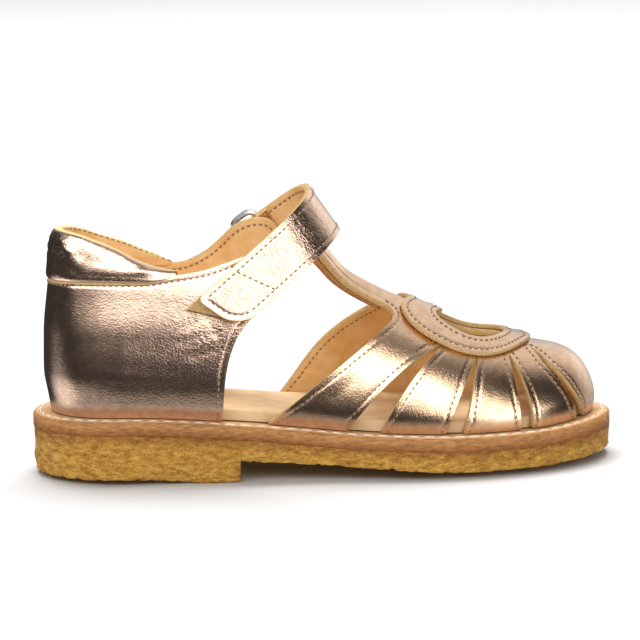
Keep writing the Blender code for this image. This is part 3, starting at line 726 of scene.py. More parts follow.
def add_shell(name, sheet, thickness, materials, fields):
    """Leather of one thickness: outer face, lining and cut edge, each with its own material."""
    count = len(sheet.points)
    faces = [list(face) for face in sheet.faces]
    faces += [[index + count for index in reversed(face)] for face in sheet.faces]
    kinds = [0] * len(sheet.faces) + [1] * len(sheet.faces)
    outward = np.zeros((count, 3))
    for start, end in sheet.border:
        along = sheet.points[end] - sheet.points[start]
        side = np.cross(along, sheet.normals[start])
        outward[start] += side
        outward[end] += side
    rim = sorted({index for edge in sheet.border for index in edge})
    outward = outward[rim]
    outward /= np.maximum(np.linalg.norm(outward, axis=1, keepdims=True), TINY)
    points = [sheet.points, sheet.inner(thickness)]
    rings = [dict(zip(rim, rim))]
    total = 2 * count
    for depth, swell in RIM_PROFILE:
        ring = sheet.points[rim] - sheet.normals[rim] * depth * thickness + outward * swell
        points.append(ring)
        rings.append({index: total + i for i, index in enumerate(rim)})
        total += len(rim)
    rings.append({index: index + count for index in rim})
    for above, below in zip(rings, rings[1:]):
        faces += [[above[end], above[start], below[start], below[end]] for start, end in sheet.border]
    kinds += [2] * (len(sheet.border) * (len(rings) - 1))
    sharp = list(sheet.border) + [(start + count, end + count) for start, end in sheet.border]
    sources = np.concatenate((np.arange(count), np.arange(count), np.tile(rim, len(RIM_PROFILE)))).astype(int)
    whole = {label: np.asarray(values)[sources] for label, values in fields.items()}
    return add_mesh(name, np.concatenate(points), faces, materials, kinds, whole, sharp)


def level_lines(sheet, field, level):
    """Lines on a sheet where a field has one value, each as points and outward directions."""
    above = (field > level).tolist()
    links = {}
    for face in sheet.faces:
        cuts = []
        for start, end in zip(face, face[1:] + face[:1]):
            if above[start] != above[end]:
                cuts.append((min(start, end), max(start, end)))
        if len(cuts) == 2:
            links.setdefault(cuts[0], []).append(cuts[1])
            links.setdefault(cuts[1], []).append(cuts[0])
    lines = []
    loose = set(links)
    starts = [cut for cut in links if len(links[cut]) == 1] + list(links)
    for cut in starts:
        if cut not in loose:
            continue
        chain = []
        while cut in loose:
            loose.discard(cut)
            chain.append(cut)
            cut = next((other for other in links[cut] if other in loose), None)
        start, end = np.array(chain).T
        share = ((level - field[start]) / (field[end] - field[start]))[:, None]
        points = sheet.points[start] * (1 - share) + sheet.points[end] * share
        normals = sheet.normals[start] * (1 - share) + sheet.normals[end] * share
        lines.append((points, normals))
    return lines


def stitch_form():
    """Points and faces of one stitch, from -1 to 1 along x, with a round section."""
    along = -np.cos(np.linspace(0, math.pi, STITCH_RINGS + 2))[1:-1]
    turn = np.arange(STITCH_SIDES) * 2 * math.pi / STITCH_SIDES
    points = [(-1, 0, 0)]
    for x in along:
        girth = math.sqrt(1 - abs(x) ** STITCH_BLUNT)
        points += [(x, girth * math.cos(angle), girth * math.sin(angle)) for angle in turn]
    points.append((1, 0, 0))
    faces = []
    last = len(points) - 1
    for i in range(STITCH_SIDES):
        j = (i + 1) % STITCH_SIDES
        faces.append((0, 1 + j, 1 + i))
        for ring in range(STITCH_RINGS - 1):
            base = 1 + ring * STITCH_SIDES
            faces.append((base + i, base + j, base + STITCH_SIDES + j, base + STITCH_SIDES + i))
        base = 1 + (STITCH_RINGS - 1) * STITCH_SIDES
        faces.append((base + i, base + j, last))
    return np.array(points), faces


def add_stitches(name, lines, material, pitch, length, radius):
    """One mesh with a row of stitches along each line."""
    form, form_faces = stitch_form()
    points = []
    faces = []
    for line, normals in lines:
        travel = np.append(0, np.cumsum(np.linalg.norm(np.diff(line, axis=0), axis=1)))
        count = int(travel[-1] / pitch)
        for i in range(count):
            middle = (i + 0.5) * travel[-1] / count
            ends = [
                np.array([np.interp(middle + half, travel, line[:, axis]) for axis in range(3)])
                for half in (-length / 2, length / 2)
            ]
            up = np.array([np.interp(middle, travel, normals[:, axis]) for axis in range(3)])
            up /= np.linalg.norm(up)
            ahead = (ends[1] - ends[0]) / 2
            aside = np.cross(up, ahead)
            aside /= max(np.linalg.norm(aside), TINY)
            lift = form[:, 2:] + STITCH_LIFT - STITCH_BOW * form[:, :1] ** 2
            start = len(points) * len(form)
            spine = (ends[0] + ends[1]) / 2 + form[:, :1] * ahead
            points.append(spine + (form[:, 1:2] * aside + lift * up) * radius)
            faces += [tuple(index + start for index in face) for face in form_faces]
    return add_mesh(name, np.concatenate(points), faces, [material])


def vamp_point(spine_x, rise):
    """Outer face of the vamp: rise is -1 at the lateral sole, 0 on the ridge and 1 at the medial sole."""
    angle = (1 - np.abs(rise)) * math.pi / 2
    out = np.cos(angle) ** (2 / section_roundness(spine_x))
    up = np.sin(angle) ** (2 / SIDE_ROUNDNESS)
    spine_y = middle_y(spine_x)

    def place(side):
        edge = EDGES[side]
        length = edge.length_at(section_base_x(spine_x))
        base = edge.at(length, WELT_MARGIN - VAMP_BULGE)
        x = spine_x + out * (base[0] - spine_x)
        y = spine_y + out * (base[1] - spine_y)
        floor = welt_height(x) + GAP
        height = (ridge_height(x) - floor) * up
        tuck = VAMP_BULGE * np.maximum(1 - height / TUCK_HEIGHT, 0) ** 2
        foot = edge.at(length, WELT_MARGIN - VAMP_BULGE + tuck)
        return np.stack((x + foot[0] - base[0], y + foot[1] - base[1], floor + height), axis=1)

    return by_side(rise, place)


def column_at(share):
    """Vamp column for a share along the sheet, closing up where the toe turns."""
    counts = [row[2] for row in VAMP_COLUMNS]
    stops = np.append(0, np.cumsum(counts[:-1]))
    place = (share + 1) / 2 * stops[-1]
    last = np.clip((place - stops[-2]) / counts[-2], 0, 1)
    place = np.where(last > 0, stops[-2] + counts[-2] * np.sin(last * math.pi / 2), place)
    return np.interp(place, stops, [row[0] for row in VAMP_COLUMNS])


def column_spine(column, rise):
    """Spine x of a point on a column, whose foot trails behind its top."""
    return column - column_sweep(column) * np.maximum(1 - (1 - np.abs(rise)) / SWEEP_RISE, 0)


def heart_outside(x, y, shape):
    """Distance beyond a heart whose cleft points to the heel."""
    middle_x, radius, breadth, cleft, lobe, point = shape
    across = (y - middle_y(x)) / breadth
    along = x - middle_x
    angle = np.abs(np.arctan2(across, along))
    reach = radius - cleft * np.exp(-(((math.pi - angle) / CLEFT_SPREAD) ** 2))
    reach += lobe * np.exp(-(((angle - LOBE_ANGLE) / LOBE_SPREAD) ** 2))
    reach += point * np.exp(-((angle / POINT_SPREAD) ** 2))
    return np.hypot(along, across) - reach


def slot_inside(column, rise):
    """Depth inside the nearest slot between the straps; below zero outside."""
    climb = 1 - np.abs(rise)
    shrink = 1 - SLOT_CLOSING * climb
    sole_end = np.ones(len(column))

    def depth(side):
        edge = EDGES[side]
        foot = edge.length_at(section_base_x(column_spine(column, sole_end)))
        depths = []
        for slot_column, width, belly, tip in VAMP_SLOTS:
            spine = column_spine(np.array([slot_column]), np.ones(1))
            middle = edge.length_at(section_base_x(spine))[0] + SLOT_SHIFT[side]
            share = np.minimum(climb / tip, 1)
            half = width / 2 * (1 + belly * share) * (1 - share) ** SLOT_TIP_ROUND
            past_tip = np.maximum(climb - tip, 0) * TIP_FALL
            depths.append((half - np.abs(foot - middle)) * shrink - past_tip)
        return np.max(depths, axis=0)

    return by_side(rise, depth)


def vamp_outside(column, rise):
    x, y, z = vamp_point(column_spine(column, rise), rise).T
    behind_strap = (by_side(rise, lambda side: first_strap_x[side](z)) - x) * FIRST_STRAP_SLANT
    beside_bar = np.abs(y - middle_y(x)) - t_bar_half(x)
    beside_bar = blended_max(beside_bar, T_BAR_END_X - x, T_BAR_END_ROUND)
    beyond = blended_min(behind_strap, beside_bar, T_BAR_FILLET)
    hole = -heart_outside(x, y, HEART_HOLE)
    return np.max((beyond, slot_inside(column, rise), hole), axis=0)


def overlay_outside(column, rise):
    x, y, z = vamp_point(column_spine(column, rise), rise).T
    return np.maximum(heart_outside(x, y, HEART_OUTER), -heart_outside(x, y, HEART_HOLE))


def vamp_sheet(outside):
    """Cut sheet laid on the vamp's outer face, with its rows closing up towards the ridge."""
    columns = sum(row[2] for row in VAMP_COLUMNS)

    def warp(a, b):
        return column_at(a), np.sign(b) * np.abs(b) ** ROW_CLOSING

    def place(column, rise):
        return vamp_point(column_spine(column, rise), rise)

    return cut_sheet(columns, VAMP_ROWS, warp, outside, place)


def quarter_point(reach, height, lift=0.0):
    """Outer face of the heel wall: reach runs round the heel from its back, lateral side below zero."""

    def place(side):
        edge = EDGES[side]
        foot = edge.at(np.abs(reach), WELT_MARGIN)
        bulge = back_bulge(height)
        for next_bulge, blend in ((side_bulge, SIDE_BLEND), (wing_bulge, WING_BLEND)):
            bulge = bulge + (next_bulge(height) - bulge) * smooth_step(*blend, foot[0])
        x, y = edge.at(np.abs(reach), WELT_MARGIN - bulge - lift)
        return np.stack((x, y, welt_height(x) + GAP + height), axis=1)

    return by_side(reach, place)


def quarter_outside(reach, height):
    x, y, z = quarter_point(reach, height).T
    above = by_side(reach, lambda side: z - quarter_top[side](x))
    ahead = by_side(reach, lambda side: x - quarter_front_x[side](z))
    return blended_max(above, ahead, WING_ROUND)


def strap_frame(across, drop, sideways):
    """Points from the strap's own plane: across the foot, down the strap, along its width."""
    side = np.clip(across / ARCH_HALF["lateral"], -1, 1)
    fall = np.minimum(drop / ARCH_RISE, 1)
    lean = np.radians(STRAP_LEAN - MEDIAL_LEAN * np.maximum(side, 0))
    twisted = lean - math.radians(CREST_TWIST) * (1 - fall)
    x = STRAP_CREST[0] - np.cos(lean) * drop + np.sin(twisted) * sideways
    y = STRAP_CREST[1] + across + STRAP_SPLAY * side * fall * sideways
    z = STRAP_CREST[2] - np.sin(lean) * drop - np.cos(twisted) * sideways
    return np.stack((x, y, z), axis=1)


def ribbon_sheet(path, half_width, rows, outside=None):
    """Cut sheet along a path in the strap's plane."""
    path = np.array(path)
    length = np.append(0, np.cumsum(np.hypot(*np.diff(path, axis=0).T)))

    def warp(a, b):
        reach = np.interp(spread(a, 0, len(path) - 1), range(len(path)), length)
        return reach, -b * half_width(reach)

    def place(reach, sideways):
        across, drop = (np.interp(reach, length, path[:, i]) for i in (0, 1))
        return strap_frame(across, drop, sideways)

    return cut_sheet(len(path) - 1, rows, warp, outside, place)


def arch_path():
    """Outer line of the strap from its lateral end to the medial ring."""
    slant = STRAP_FLARE / (STRAP_END_DROP - ARCH_RISE)
    path = []
    for i in range(LEG_STEPS):
        share = i / LEG_STEPS
        drop = STRAP_END_DROP + (ARCH_RISE - STRAP_END_DROP) * share
        path.append((-ARCH_HALF["lateral"] - STRAP_FLARE * (1 - share), drop))
    for i in range(ARCH_STEPS + 1):
        angle = -math.pi / 2 + math.pi * i / ARCH_STEPS
        side = "lateral" if angle < 0 else "medial"
        crest = max(math.cos(angle), 0.0) ** ARCH_FULLNESS[side]
        lean_in = slant * ARCH_RISE * crest * (1 - crest) if side == "lateral" else 0.0
        path.append((ARCH_HALF[side] * math.sin(angle) + lean_in, ARCH_RISE * (1 - crest)))
    return path


def straight_path(start, end):
    """Points from one place to another, without the first."""
    shares = np.linspace(0, 1, TAIL_STEPS + 1)[1:, None]
    return [tuple(point) for point in start + (np.array(end) - start) * shares]


def hook_path(bar_across, bar_drop, first_angle, last_angle, radius):
    """Turn round a ring bar, from one angle to another."""
    turn = []
    for i in range(HOOK_STEPS + 1):
        angle = math.radians(first_angle + (last_angle - first_angle) * i / HOOK_STEPS)
        turn.append((bar_across + radius * math.cos(angle), bar_drop + radius * math.sin(angle)))
    return turn


def ring_bars():
    """Places of the ring's upper and lower bar: across the foot, down the strap."""
    across = ARCH_HALF["medial"] - STRAP_THICK - GAP - RING_WIRE
    return (across, RING_TOP_DROP), (across, RING_TOP_DROP + RING_LENGTH)


def strap_outside(reach, sideways):
    """Distance beyond the rounded, slanting lateral end of the strap."""
    half = strap_half(reach)
    corner = np.where(sideways < 0, STRAP_END_ROUND["rear"], STRAP_END_ROUND["front"])
    short = corner + STRAP_END_SKEW * (sideways + half) - reach
    side = np.abs(sideways) - half + corner
    flat = np.maximum(short, side)
    round_off = np.hypot(np.maximum(short, 0), np.maximum(side, 0))
    return np.where((short <= 0) | (side <= 0), flat, round_off) - corner


def add_node(tree, kind, inputs=None, **settings):
    """Shader node with its settings, and its inputs linked or set."""
    node = tree.nodes.new(kind)
    for key, value in settings.items():
        setattr(node, key, value)
    for key, value in (inputs or {}).items():
        if isinstance(value, bpy.types.NodeSocket):
            tree.links.new(value, node.inputs[key])
        else:
            node.inputs[key].default_value = value
    return node


def math_node(tree, operation, first, second=0.0, third=None):
    inputs = {0: first, 1: second}
    if third is not None:
        inputs[2] = third
    return add_node(tree, "ShaderNodeMath", inputs, operation=operation).outputs[0]


def place_in_mm(tree, stretch=(1, 1, 1)):
    """Coordinates on the shoe in millimetres, stretched along the axes."""
    coordinates = add_node(tree, "ShaderNodeTexCoord").outputs["Object"]
    scale = [factor / MM for factor in stretch]
    return add_node(tree, "ShaderNodeMapping", {"Vector": coordinates, "Scale": scale}).outputs["Vector"]


def noise(tree, place, size, detail=2.0, roughness=0.5):
    inputs = {"Vector": place, "Scale": 1 / size, "Detail": detail, "Roughness": roughness}
    return add_node(tree, "ShaderNodeTexNoise", inputs).outputs["Fac"]


def cells(tree, place, size):
    return add_node(tree, "ShaderNodeTexVoronoi", {"Vector": place, "Scale": 1 / size}).outputs["Distance"]


def ramp(tree, factor, stops):
    """Colour ramp from a list of positions and colours."""
    node = add_node(tree, "ShaderNodeValToRGB", {"Fac": factor})
    elements = node.color_ramp.elements
    while len(elements) < len(stops):
        elements.new(0.5)
    for element, (position, colour) in zip(elements, stops):
        element.position = position
        element.color = (*colour, 1)
    return node.outputs["Color"]


def toned(tree, factor, tones):
    """Colour between a dark and a light tone."""
    return ramp(tree, factor, tuple(zip(TONE_RANGE, tones)))


def mask(tree, value, start, full):
    """Share from 0 to 1 while a value goes from start to full."""
    return ramp(tree, value, ((start, (0, 0, 0)), (full, (1, 1, 1))))


def mixed_colour(tree, factor, first, second):
    inputs = {"Factor": factor, "A": first, "B": second}
    return add_node(tree, "ShaderNodeMix", inputs, data_type="RGBA").outputs["Result"]


def field_value(tree, name):
    return add_node(tree, "ShaderNodeAttribute", attribute_name=name).outputs["Fac"]


def bell(tree, value, middle, width):
    """One where a value is at the middle, falling off within the width."""
    offset = math_node(tree, "SUBTRACT", value, middle)
    square = math_node(tree, "POWER", math_node(tree, "DIVIDE", offset, width), 2.0)
    return math_node(tree, "POWER", math.e, math_node(tree, "MULTIPLY", square, -1.0))


def furrow(tree, width, depth):
    """Bump part for the furrow along a seam: its shape and height."""
    return bell(tree, field_value(tree, "edge_distance"), SEAM_INSET, width), -depth


def fine_creases(tree, stretch):
    """Fine creases in the foil, long in one direction and deep where the leather is worked most."""
    along = field_value(tree, "along")
    aside = field_value(tree, "aside")
    flat = add_node(tree, "ShaderNodeCombineXYZ", {"X": along, "Y": aside}).outputs["Vector"]
    place = add_node(tree, "ShaderNodeMapping", {"Vector": flat, "Scale": (*stretch, 1)}).outputs["Vector"]
    lines = bell(tree, noise(tree, place, CREASE_SIZE, detail=3.0), 0.5, CREASE_WIDTH)
    return math_node(tree, "MULTIPLY", lines, field_value(tree, "creasing"))


def new_material(name, **sockets):
    """Material with a Principled shader and constant values on its sockets."""
    material = bpy.data.materials.new(name)
    material.use_nodes = True
    tree = material.node_tree
    shader = tree.nodes["Principled BSDF"]
    for key, value in sockets.items():
        shader.inputs[key.replace("_", " ")].default_value = value
    return material, tree, shader


def link_bump(tree, shader, *parts):
    """Bump from parts, each a shape and its height in millimetres."""
    total = 0.0
    for shape, height in parts:
        total = math_node(tree, "MULTIPLY_ADD", shape, height, total)
    bump = add_node(tree, "ShaderNodeBump", {"Height": total, "Distance": MM, "Strength": 1.0})
    tree.links.new(bump.outputs["Normal"], shader.inputs["Normal"])


def metallic_leather(name, tones, stretch, seam=True, raw_band=False):
    """Rose-gold foil on leather, with pebbled grain, fine creases, pressed seams and a raw band if wanted."""
    material, tree, shader = new_material(name, Metallic=1.0, Coat_Weight=0.15, Coat_Roughness=0.25)
    place = place_in_mm(tree)
    pebble = cells(tree, place, PEBBLE[0])
    grain = noise(tree, place, GRAIN[0], detail=3.0, roughness=0.6)
    swell = noise(tree, place, SWELL[0])
    parts = [(pebble, PEBBLE[1]), (grain, GRAIN[1]), (swell, SWELL[1])]
    parts.append((fine_creases(tree, stretch), -CREASE_DEPTH))
    if seam:
        parts.append(furrow(tree, *FOIL_FURROW))
    link_bump(tree, shader, *parts)
    foil = toned(tree, noise(tree, place, FOIL_MOTTLE, detail=4.0), tones)
    rough = math_node(tree, "MULTIPLY_ADD", grain, FOIL_ROUGH[1], FOIL_ROUGH[0])
    rough = math_node(tree, "MULTIPLY_ADD", field_value(tree, "foot"), FOOT_HAZE, rough)
    if raw_band:
        rag = noise(tree, place, RAW_RAG[0], detail=3.0)
        uneven = math_node(tree, "MULTIPLY_ADD", rag, RAW_RAG[1], field_value(tree, "raw"))
        bare = mask(tree, uneven, *RAW_RANGE)
        foil = mixed_colour(tree, bare, foil, toned(tree, grain, RAW_TONES))
        rough = math_node(tree, "MULTIPLY_ADD", bare, RAW_HAZE, rough)
        tree.links.new(math_node(tree, "SUBTRACT", 1.0, bare), shader.inputs["Metallic"])
    tree.links.new(foil, shader.inputs["Base Color"])
    tree.links.new(rough, shader.inputs["Roughness"])
    return material


def tan_leather(name, tones, seam=False):
    """Plain tan leather with soft mottling and a fine grain."""
    material, tree, shader = new_material(name, Roughness=0.55, Specular_IOR_Level=0.35)
    place = place_in_mm(tree)
    colour = toned(tree, noise(tree, place, TAN_MOTTLE, detail=5.0), tones)
    tree.links.new(colour, shader.inputs["Base Color"])
    pebble = cells(tree, place, TAN_PEBBLE[0])
    swell = noise(tree, place, TAN_SWELL[0])
    parts = [(pebble, TAN_PEBBLE[1]), (swell, TAN_SWELL[1])]
    if seam:
        parts.append(furrow(tree, *LINING_FURROW))
    link_bump(tree, shader, *parts)
    return material


def raw_edge(name, tones):
    """Cut edge of leather with its fibres showing."""
    material, tree, shader = new_material(name, Roughness=0.8, Specular_IOR_Level=0.2)
    fibre = noise(tree, place_in_mm(tree), FIBRE[0], detail=4.0, roughness=0.7)
    tree.links.new(toned(tree, fibre, tones), shader.inputs["Base Color"])
    link_bump(tree, shader, (fibre, FIBRE[1]))
    return material


def midsole_side(name):
    """Side of the leather midsole: fibres and specks, tan above and reddish towards the crepe."""
    material, tree, shader = new_material(name, Roughness=0.7, Specular_IOR_Level=0.25)
    fibre = noise(tree, place_in_mm(tree, MIDSOLE_STRETCH), MIDSOLE_FIBRE[0], detail=5.0, roughness=0.7)
    depth = mask(tree, field_value(tree, "depth"), *MIDSOLE_RANGE)
    colour = mixed_colour(tree, depth, toned(tree, fibre, MIDSOLE_UPPER), toned(tree, fibre, MIDSOLE_LOWER))
    tree.links.new(colour, shader.inputs["Base Color"])
    link_bump(tree, shader, (fibre, MIDSOLE_FIBRE[1]))
    return material


def crepe_rubber(name, top_stops):
    """Crepe rubber: honey crumbs, bright specks and dark pits, in other tones towards the top of a layer."""
    material, tree, shader = new_material(name, Roughness=0.6, Specular_IOR_Level=0.3)
    crumb = noise(tree, place_in_mm(tree, CRUMB_STRETCH), CRUMB[0], detail=6.0, roughness=0.75)
    speck = noise(tree, place_in_mm(tree), SPECK[0])
    pit = cells(tree, place_in_mm(tree, PIT_STRETCH), PIT[0])
    crumb_share, speck_share, shift = CREPE_MIX
    tone = math_node(tree, "MULTIPLY_ADD", crumb, crumb_share, shift)
    tone = math_node(tree, "MULTIPLY_ADD", speck, speck_share, tone)
    depth = mask(tree, field_value(tree, "depth"), *CREPE_RANGE)
    colour = mixed_colour(tree, depth, ramp(tree, tone, top_stops), ramp(tree, tone, CREPE_LOW))
    tree.links.new(colour, shader.inputs["Base Color"])
    link_bump(tree, shader, (crumb, CRUMB[1]), (speck, SPECK[1]), (pit, PIT[1]))
    return material


def thread(name, tones):
    """Twisted sewing thread."""
    material, tree, shader = new_material(name, Roughness=0.7, Specular_IOR_Level=0.2)
    strands = noise(tree, place_in_mm(tree), STRAND[0])
    tree.links.new(toned(tree, strands, tones), shader.inputs["Base Color"])
    link_bump(tree, shader, (strands, STRAND[1]))
    return material


def bright_steel(name):
    """Plated ring wire with faint handling marks."""
    material, tree, shader = new_material(name, Metallic=1.0)
    marks = noise(tree, place_in_mm(tree, STEEL_STRETCH), STEEL_MARKS, detail=4.0)
    tree.links.new(toned(tree, marks, STEEL_TONES), shader.inputs["Base Color"])
    rough = math_node(tree, "MULTIPLY_ADD", marks, STEEL_ROUGH[1], STEEL_ROUGH[0])
    tree.links.new(rough, shader.inputs["Roughness"])
    return material


def looped_fabric(name):
    """Brushed loops of a hook-and-loop patch."""
    material, tree, shader = new_material(name, Roughness=0.95, Sheen_Weight=0.4)
    place = place_in_mm(tree)
    loops = cells(tree, place, LOOP[0])
    tree.links.new(ramp(tree, loops, LOOP_STOPS), shader.inputs["Base Color"])
    link_bump(tree, shader, (loops, LOOP[1]), (noise(tree, place, FUZZ[0]), FUZZ[1]))
    return material


class Finish:
    """Materials that several pieces share."""

    def __init__(self):
        self.upper = metallic_leather("vamp_foil", FOIL_GOLD, stretch=(1, 0.4))
        self.heel = metallic_leather("quarter_foil", FOIL_ROSE, stretch=(0.5, 1), raw_band=True)
        self.strap = metallic_leather("strap_foil", FOIL_ROSE, stretch=(1, 0.5))
        self.padding = metallic_leather("padded_foil", FOIL_ROSE, stretch=(0.4, 1), seam=False)
        self.lining = tan_leather("lining_leather", LINING_TONES, seam=True)
        self.edge = raw_edge("cut_edge", EDGE_TONES)
        self.insole = tan_leather("insole_leather", INSOLE_TONES)
        self.welt = tan_leather("welt_leather", WELT_TONES)
        # Darker copy of the cut edge, with painted shade for the edge of the layer under the T-bar
        self.fold_edge_painted_shade = raw_edge("fold_edge_painted_shade", FOLD_EDGE_SHADE_TONES)
        self.midsole = midsole_side("midsole_edge")
        self.crepe = crepe_rubber("sole_crepe_rubber", CREPE_TOP)
        self.heel_crepe = crepe_rubber("heel_crepe_rubber", CREPE_LOW)
        self.thread = thread("seam_thread", SEAM_THREAD_TONES)
        self.welt_thread = thread("welt_thread", WELT_THREAD_TONES)
        self.steel = bright_steel("ring_steel")
        self.loops = looped_fabric("loop_fabric")

    def shell(self, outer):
        return [outer, self.lining, self.edge]


def above_welt(sheet):
    x, y, z = sheet.points.T
    return z > welt_height(x) + WELT_CLEARANCE


def both_faces(lines, thickness):
    """Seam lines on the outer face and again on the lining."""
    return lines + [(points - normals * thickness, -normals) for points, normals in lines]


def kept_runs(lines, kept):
    """Stretches of the lines whose points are kept."""
    runs = []
    for points, normals in lines:
        marks = np.flatnonzero(kept(points))
        for run in np.split(marks, np.flatnonzero(np.diff(marks) > 1) + 1):
            if len(run) > 2:
                runs.append((points[run], normals[run]))
    return runs


def add_seams(name, lines, material, slot):
    """Leather stitches along lines."""
    settle(add_stitches(name, lines, material, SEAM_PITCH, SEAM_LENGTH, SEAM_RADIUS), slot)


def leather_fields(sheet, distance, along, aside, rows):
    """Point fields that the leather's material reads."""
    return {
        "edge_distance": distance,
        "along": along,
        "aside": aside,
        "creasing": spots(sheet.points, rows),
        "foot": smooth_step(*FOOT_REACH, sheet.points[:, 2] - welt_height(sheet.points[:, 0])),
    }


def off_the_bar(points):
    """Whether points lie away from the T-bar, whose edges have no stitches."""
    x, y, z = points.T
    return (x > BAR_SEAM_X) | (np.abs(y - middle_y(x)) > BAR_SEAM_SIDE)


def add_vamp(finish):
    sheet = vamp_sheet(vamp_outside)
    distance = sheet.edge_distance(above_welt(sheet))
    sheet.points = press(sheet.points, sheet.normals, VAMP_CREASES)
    fields = leather_fields(sheet, distance, sheet.points[:, 0], sheet.points[:, 2], VAMP_SPOTS)
    shell = add_shell("vamp_skin", sheet, LEATHER, finish.shell(finish.upper), fields)
    settle(shell, "vamp_leather", "vamp")
    lines = kept_runs(level_lines(sheet, distance, SEAM_INSET), off_the_bar)
    add_seams("vamp_seams", both_faces(lines, LEATHER), finish.thread, "vamp_leather")


def fold_outside(column, rise):
    """Distance beyond the folded layer under the T-bar."""
    x, y, z = vamp_point(column_spine(column, rise), rise).T
    beside = np.abs(y - middle_y(x)) - t_bar_half(x) + FOLD_INSET
    return blended_max(np.maximum(beside, x - FOLD_END_X), T_BAR_END_X - x, T_BAR_END_ROUND)


def add_bar_fold(finish):
    """Second layer of the T-bar, turned under at the ankle strap and parting from the top layer there."""
    sheet = vamp_sheet(fold_outside)
    parting = smooth_step(FOLD_END_X, T_BAR_END_X, sheet.points[:, 0])
    sheet.points = sheet.points - sheet.normals * (LEATHER + FOLD_GAP[0] + FOLD_GAP[1] * parting)[:, None]
    distance = sheet.edge_distance()
    fields = leather_fields(sheet, distance, sheet.points[:, 0], sheet.points[:, 2], ())
    # The cut edge of this layer carries painted shade in its darker tones
    materials = [finish.lining, finish.lining, finish.fold_edge_painted_shade]
    settle(add_shell("bar_fold", sheet, FOLD_THICK, materials, fields), "vamp_leather")


def add_heart_overlay(finish):
    sheet = vamp_sheet(overlay_outside)
    sheet.points = sheet.points + sheet.normals * (GAP + OVERLAY_THICK)
    distance = sheet.edge_distance()
    fields = leather_fields(sheet, distance, sheet.points[:, 0], sheet.points[:, 1], VAMP_SPOTS)
    shell = add_shell("heart_skin", sheet, OVERLAY_THICK, finish.shell(finish.upper), fields)
    settle(shell, "overlay_leather", "heart_overlay")
    lines = level_lines(sheet, distance, SEAM_INSET)
    add_seams("heart_seams", lines, finish.thread, "overlay_leather")


def add_quarter(finish):
    def warp(a, b):
        return -a * QUARTER_REACH, spread(b, 0, QUARTER_HEIGHT)

    sheet = cut_sheet(QUARTER_COLUMNS, QUARTER_ROWS, warp, quarter_outside, quarter_point)
    distance = sheet.edge_distance(above_welt(sheet))
    reach, height = sheet.flat.T
    x, y, z = sheet.points.T
    below_top = by_side(reach, lambda side: quarter_top[side](x)) - z
    sheet.points = press(sheet.points, sheet.normals, QUARTER_CREASES)
    fields = leather_fields(sheet, distance, reach, height, QUARTER_SPOTS)
    fields["raw"] = smooth_step(2 * RAW_BAND, 0, below_top) * smooth_step(*RAW_BAND_END, x)
    shell = add_shell("quarter_skin", sheet, LEATHER, finish.shell(finish.heel), fields)
    settle(shell, "quarter_leather", "quarter")
    lines = level_lines(sheet, distance, SEAM_INSET)
    add_seams("quarter_seams", both_faces(lines, LEATHER), finish.thread, "quarter_leather")


def collar_point(reach, turn):
    """Surface of the padded roll: turn is 0 on its outer side, a quarter turn at the rim."""
    x = quarter_point(reach, np.full(len(reach), float(QUARTER_HEIGHT)))[:, 0]
    turns = (np.cos(turn), np.sin(turn))
    out, up = (np.sign(part) * np.abs(part) ** COLLAR_BOXY for part in turns)
    up = up - COLLAR_SAG * (1 - up * up)
    low = by_side(reach, lambda side: quarter_top[side](x)) - COLLAR_OVERLAP
    high = by_side(reach, lambda side: collar_top[side](x))
    height = spread(up, low, high) - welt_height(x) - GAP
    opening = np.sqrt(smooth_step(0, COLLAR_CLOSING, COLLAR_END_X - x))
    half_thick = COLLAR_HALF_THICK * (COLLAR_END_SHARE + (1 - COLLAR_END_SHARE) * opening)
    return quarter_point(reach, height, out * half_thick - COLLAR_INWARD)


def point_normals(points, faces):
    """Mean direction of the four-sided faces round each point."""
    corners = points[np.array(faces)]
    across = np.cross(corners[:, 2] - corners[:, 0], corners[:, 3] - corners[:, 1])
    normals = np.zeros_like(points)
    for i in range(4):
        np.add.at(normals, np.array(faces)[:, i], across)
    return normals / np.linalg.norm(normals, axis=1, keepdims=True)


def add_collar(finish):
    """Padded roll standing on the top edge of the quarter, with a stitched lining on its inner side."""
    ends = [float(EDGES[side].length_at(COLLAR_END_X)) for side in SIDES]
    reach = np.linspace(-ends[0], ends[1], COLLAR_COLUMNS + 1)
    turn = np.linspace(-math.pi, math.pi, COLLAR_ROWS, endpoint=False)
    whole_reach = np.repeat(reach, COLLAR_ROWS)
    whole_turn = np.tile(turn, COLLAR_COLUMNS + 1)
    points = collar_point(whole_reach, whole_turn)
    faces = ring_faces(COLLAR_COLUMNS + 1, COLLAR_ROWS)
    points = press(points, point_normals(points, faces), COLLAR_CREASES)
    inner = (np.abs(turn) > COLLAR_FOLD).astype(int)
    kinds = list(np.tile(inner, COLLAR_COLUMNS))
    last = COLLAR_COLUMNS * COLLAR_ROWS
    faces += [tuple(range(COLLAR_ROWS)), tuple(range(last + COLLAR_ROWS - 1, last - 1, -1))]
    kinds += [1, 1]
    fields = {
        "edge_distance": np.full(len(points), FAR_FROM_EDGE),
        "along": whole_reach,
        "aside": whole_turn * COLLAR_HALF_THICK,
        "creasing": spots(points, COLLAR_SPOTS),
    }
    pad = add_mesh("collar_pad", points, faces, [finish.padding, finish.lining], kinds, fields)
    settle(pad, "collar_leather", "collar")
    row = collar_point(reach, np.full(len(reach), COLLAR_SEAM))
    inward = row - collar_point(reach, np.full(len(reach), COLLAR_SEAM - math.pi))
    inward /= np.linalg.norm(inward, axis=1, keepdims=True)
    add_seams("collar_seam", [(row, inward)], finish.thread, "collar_leather")


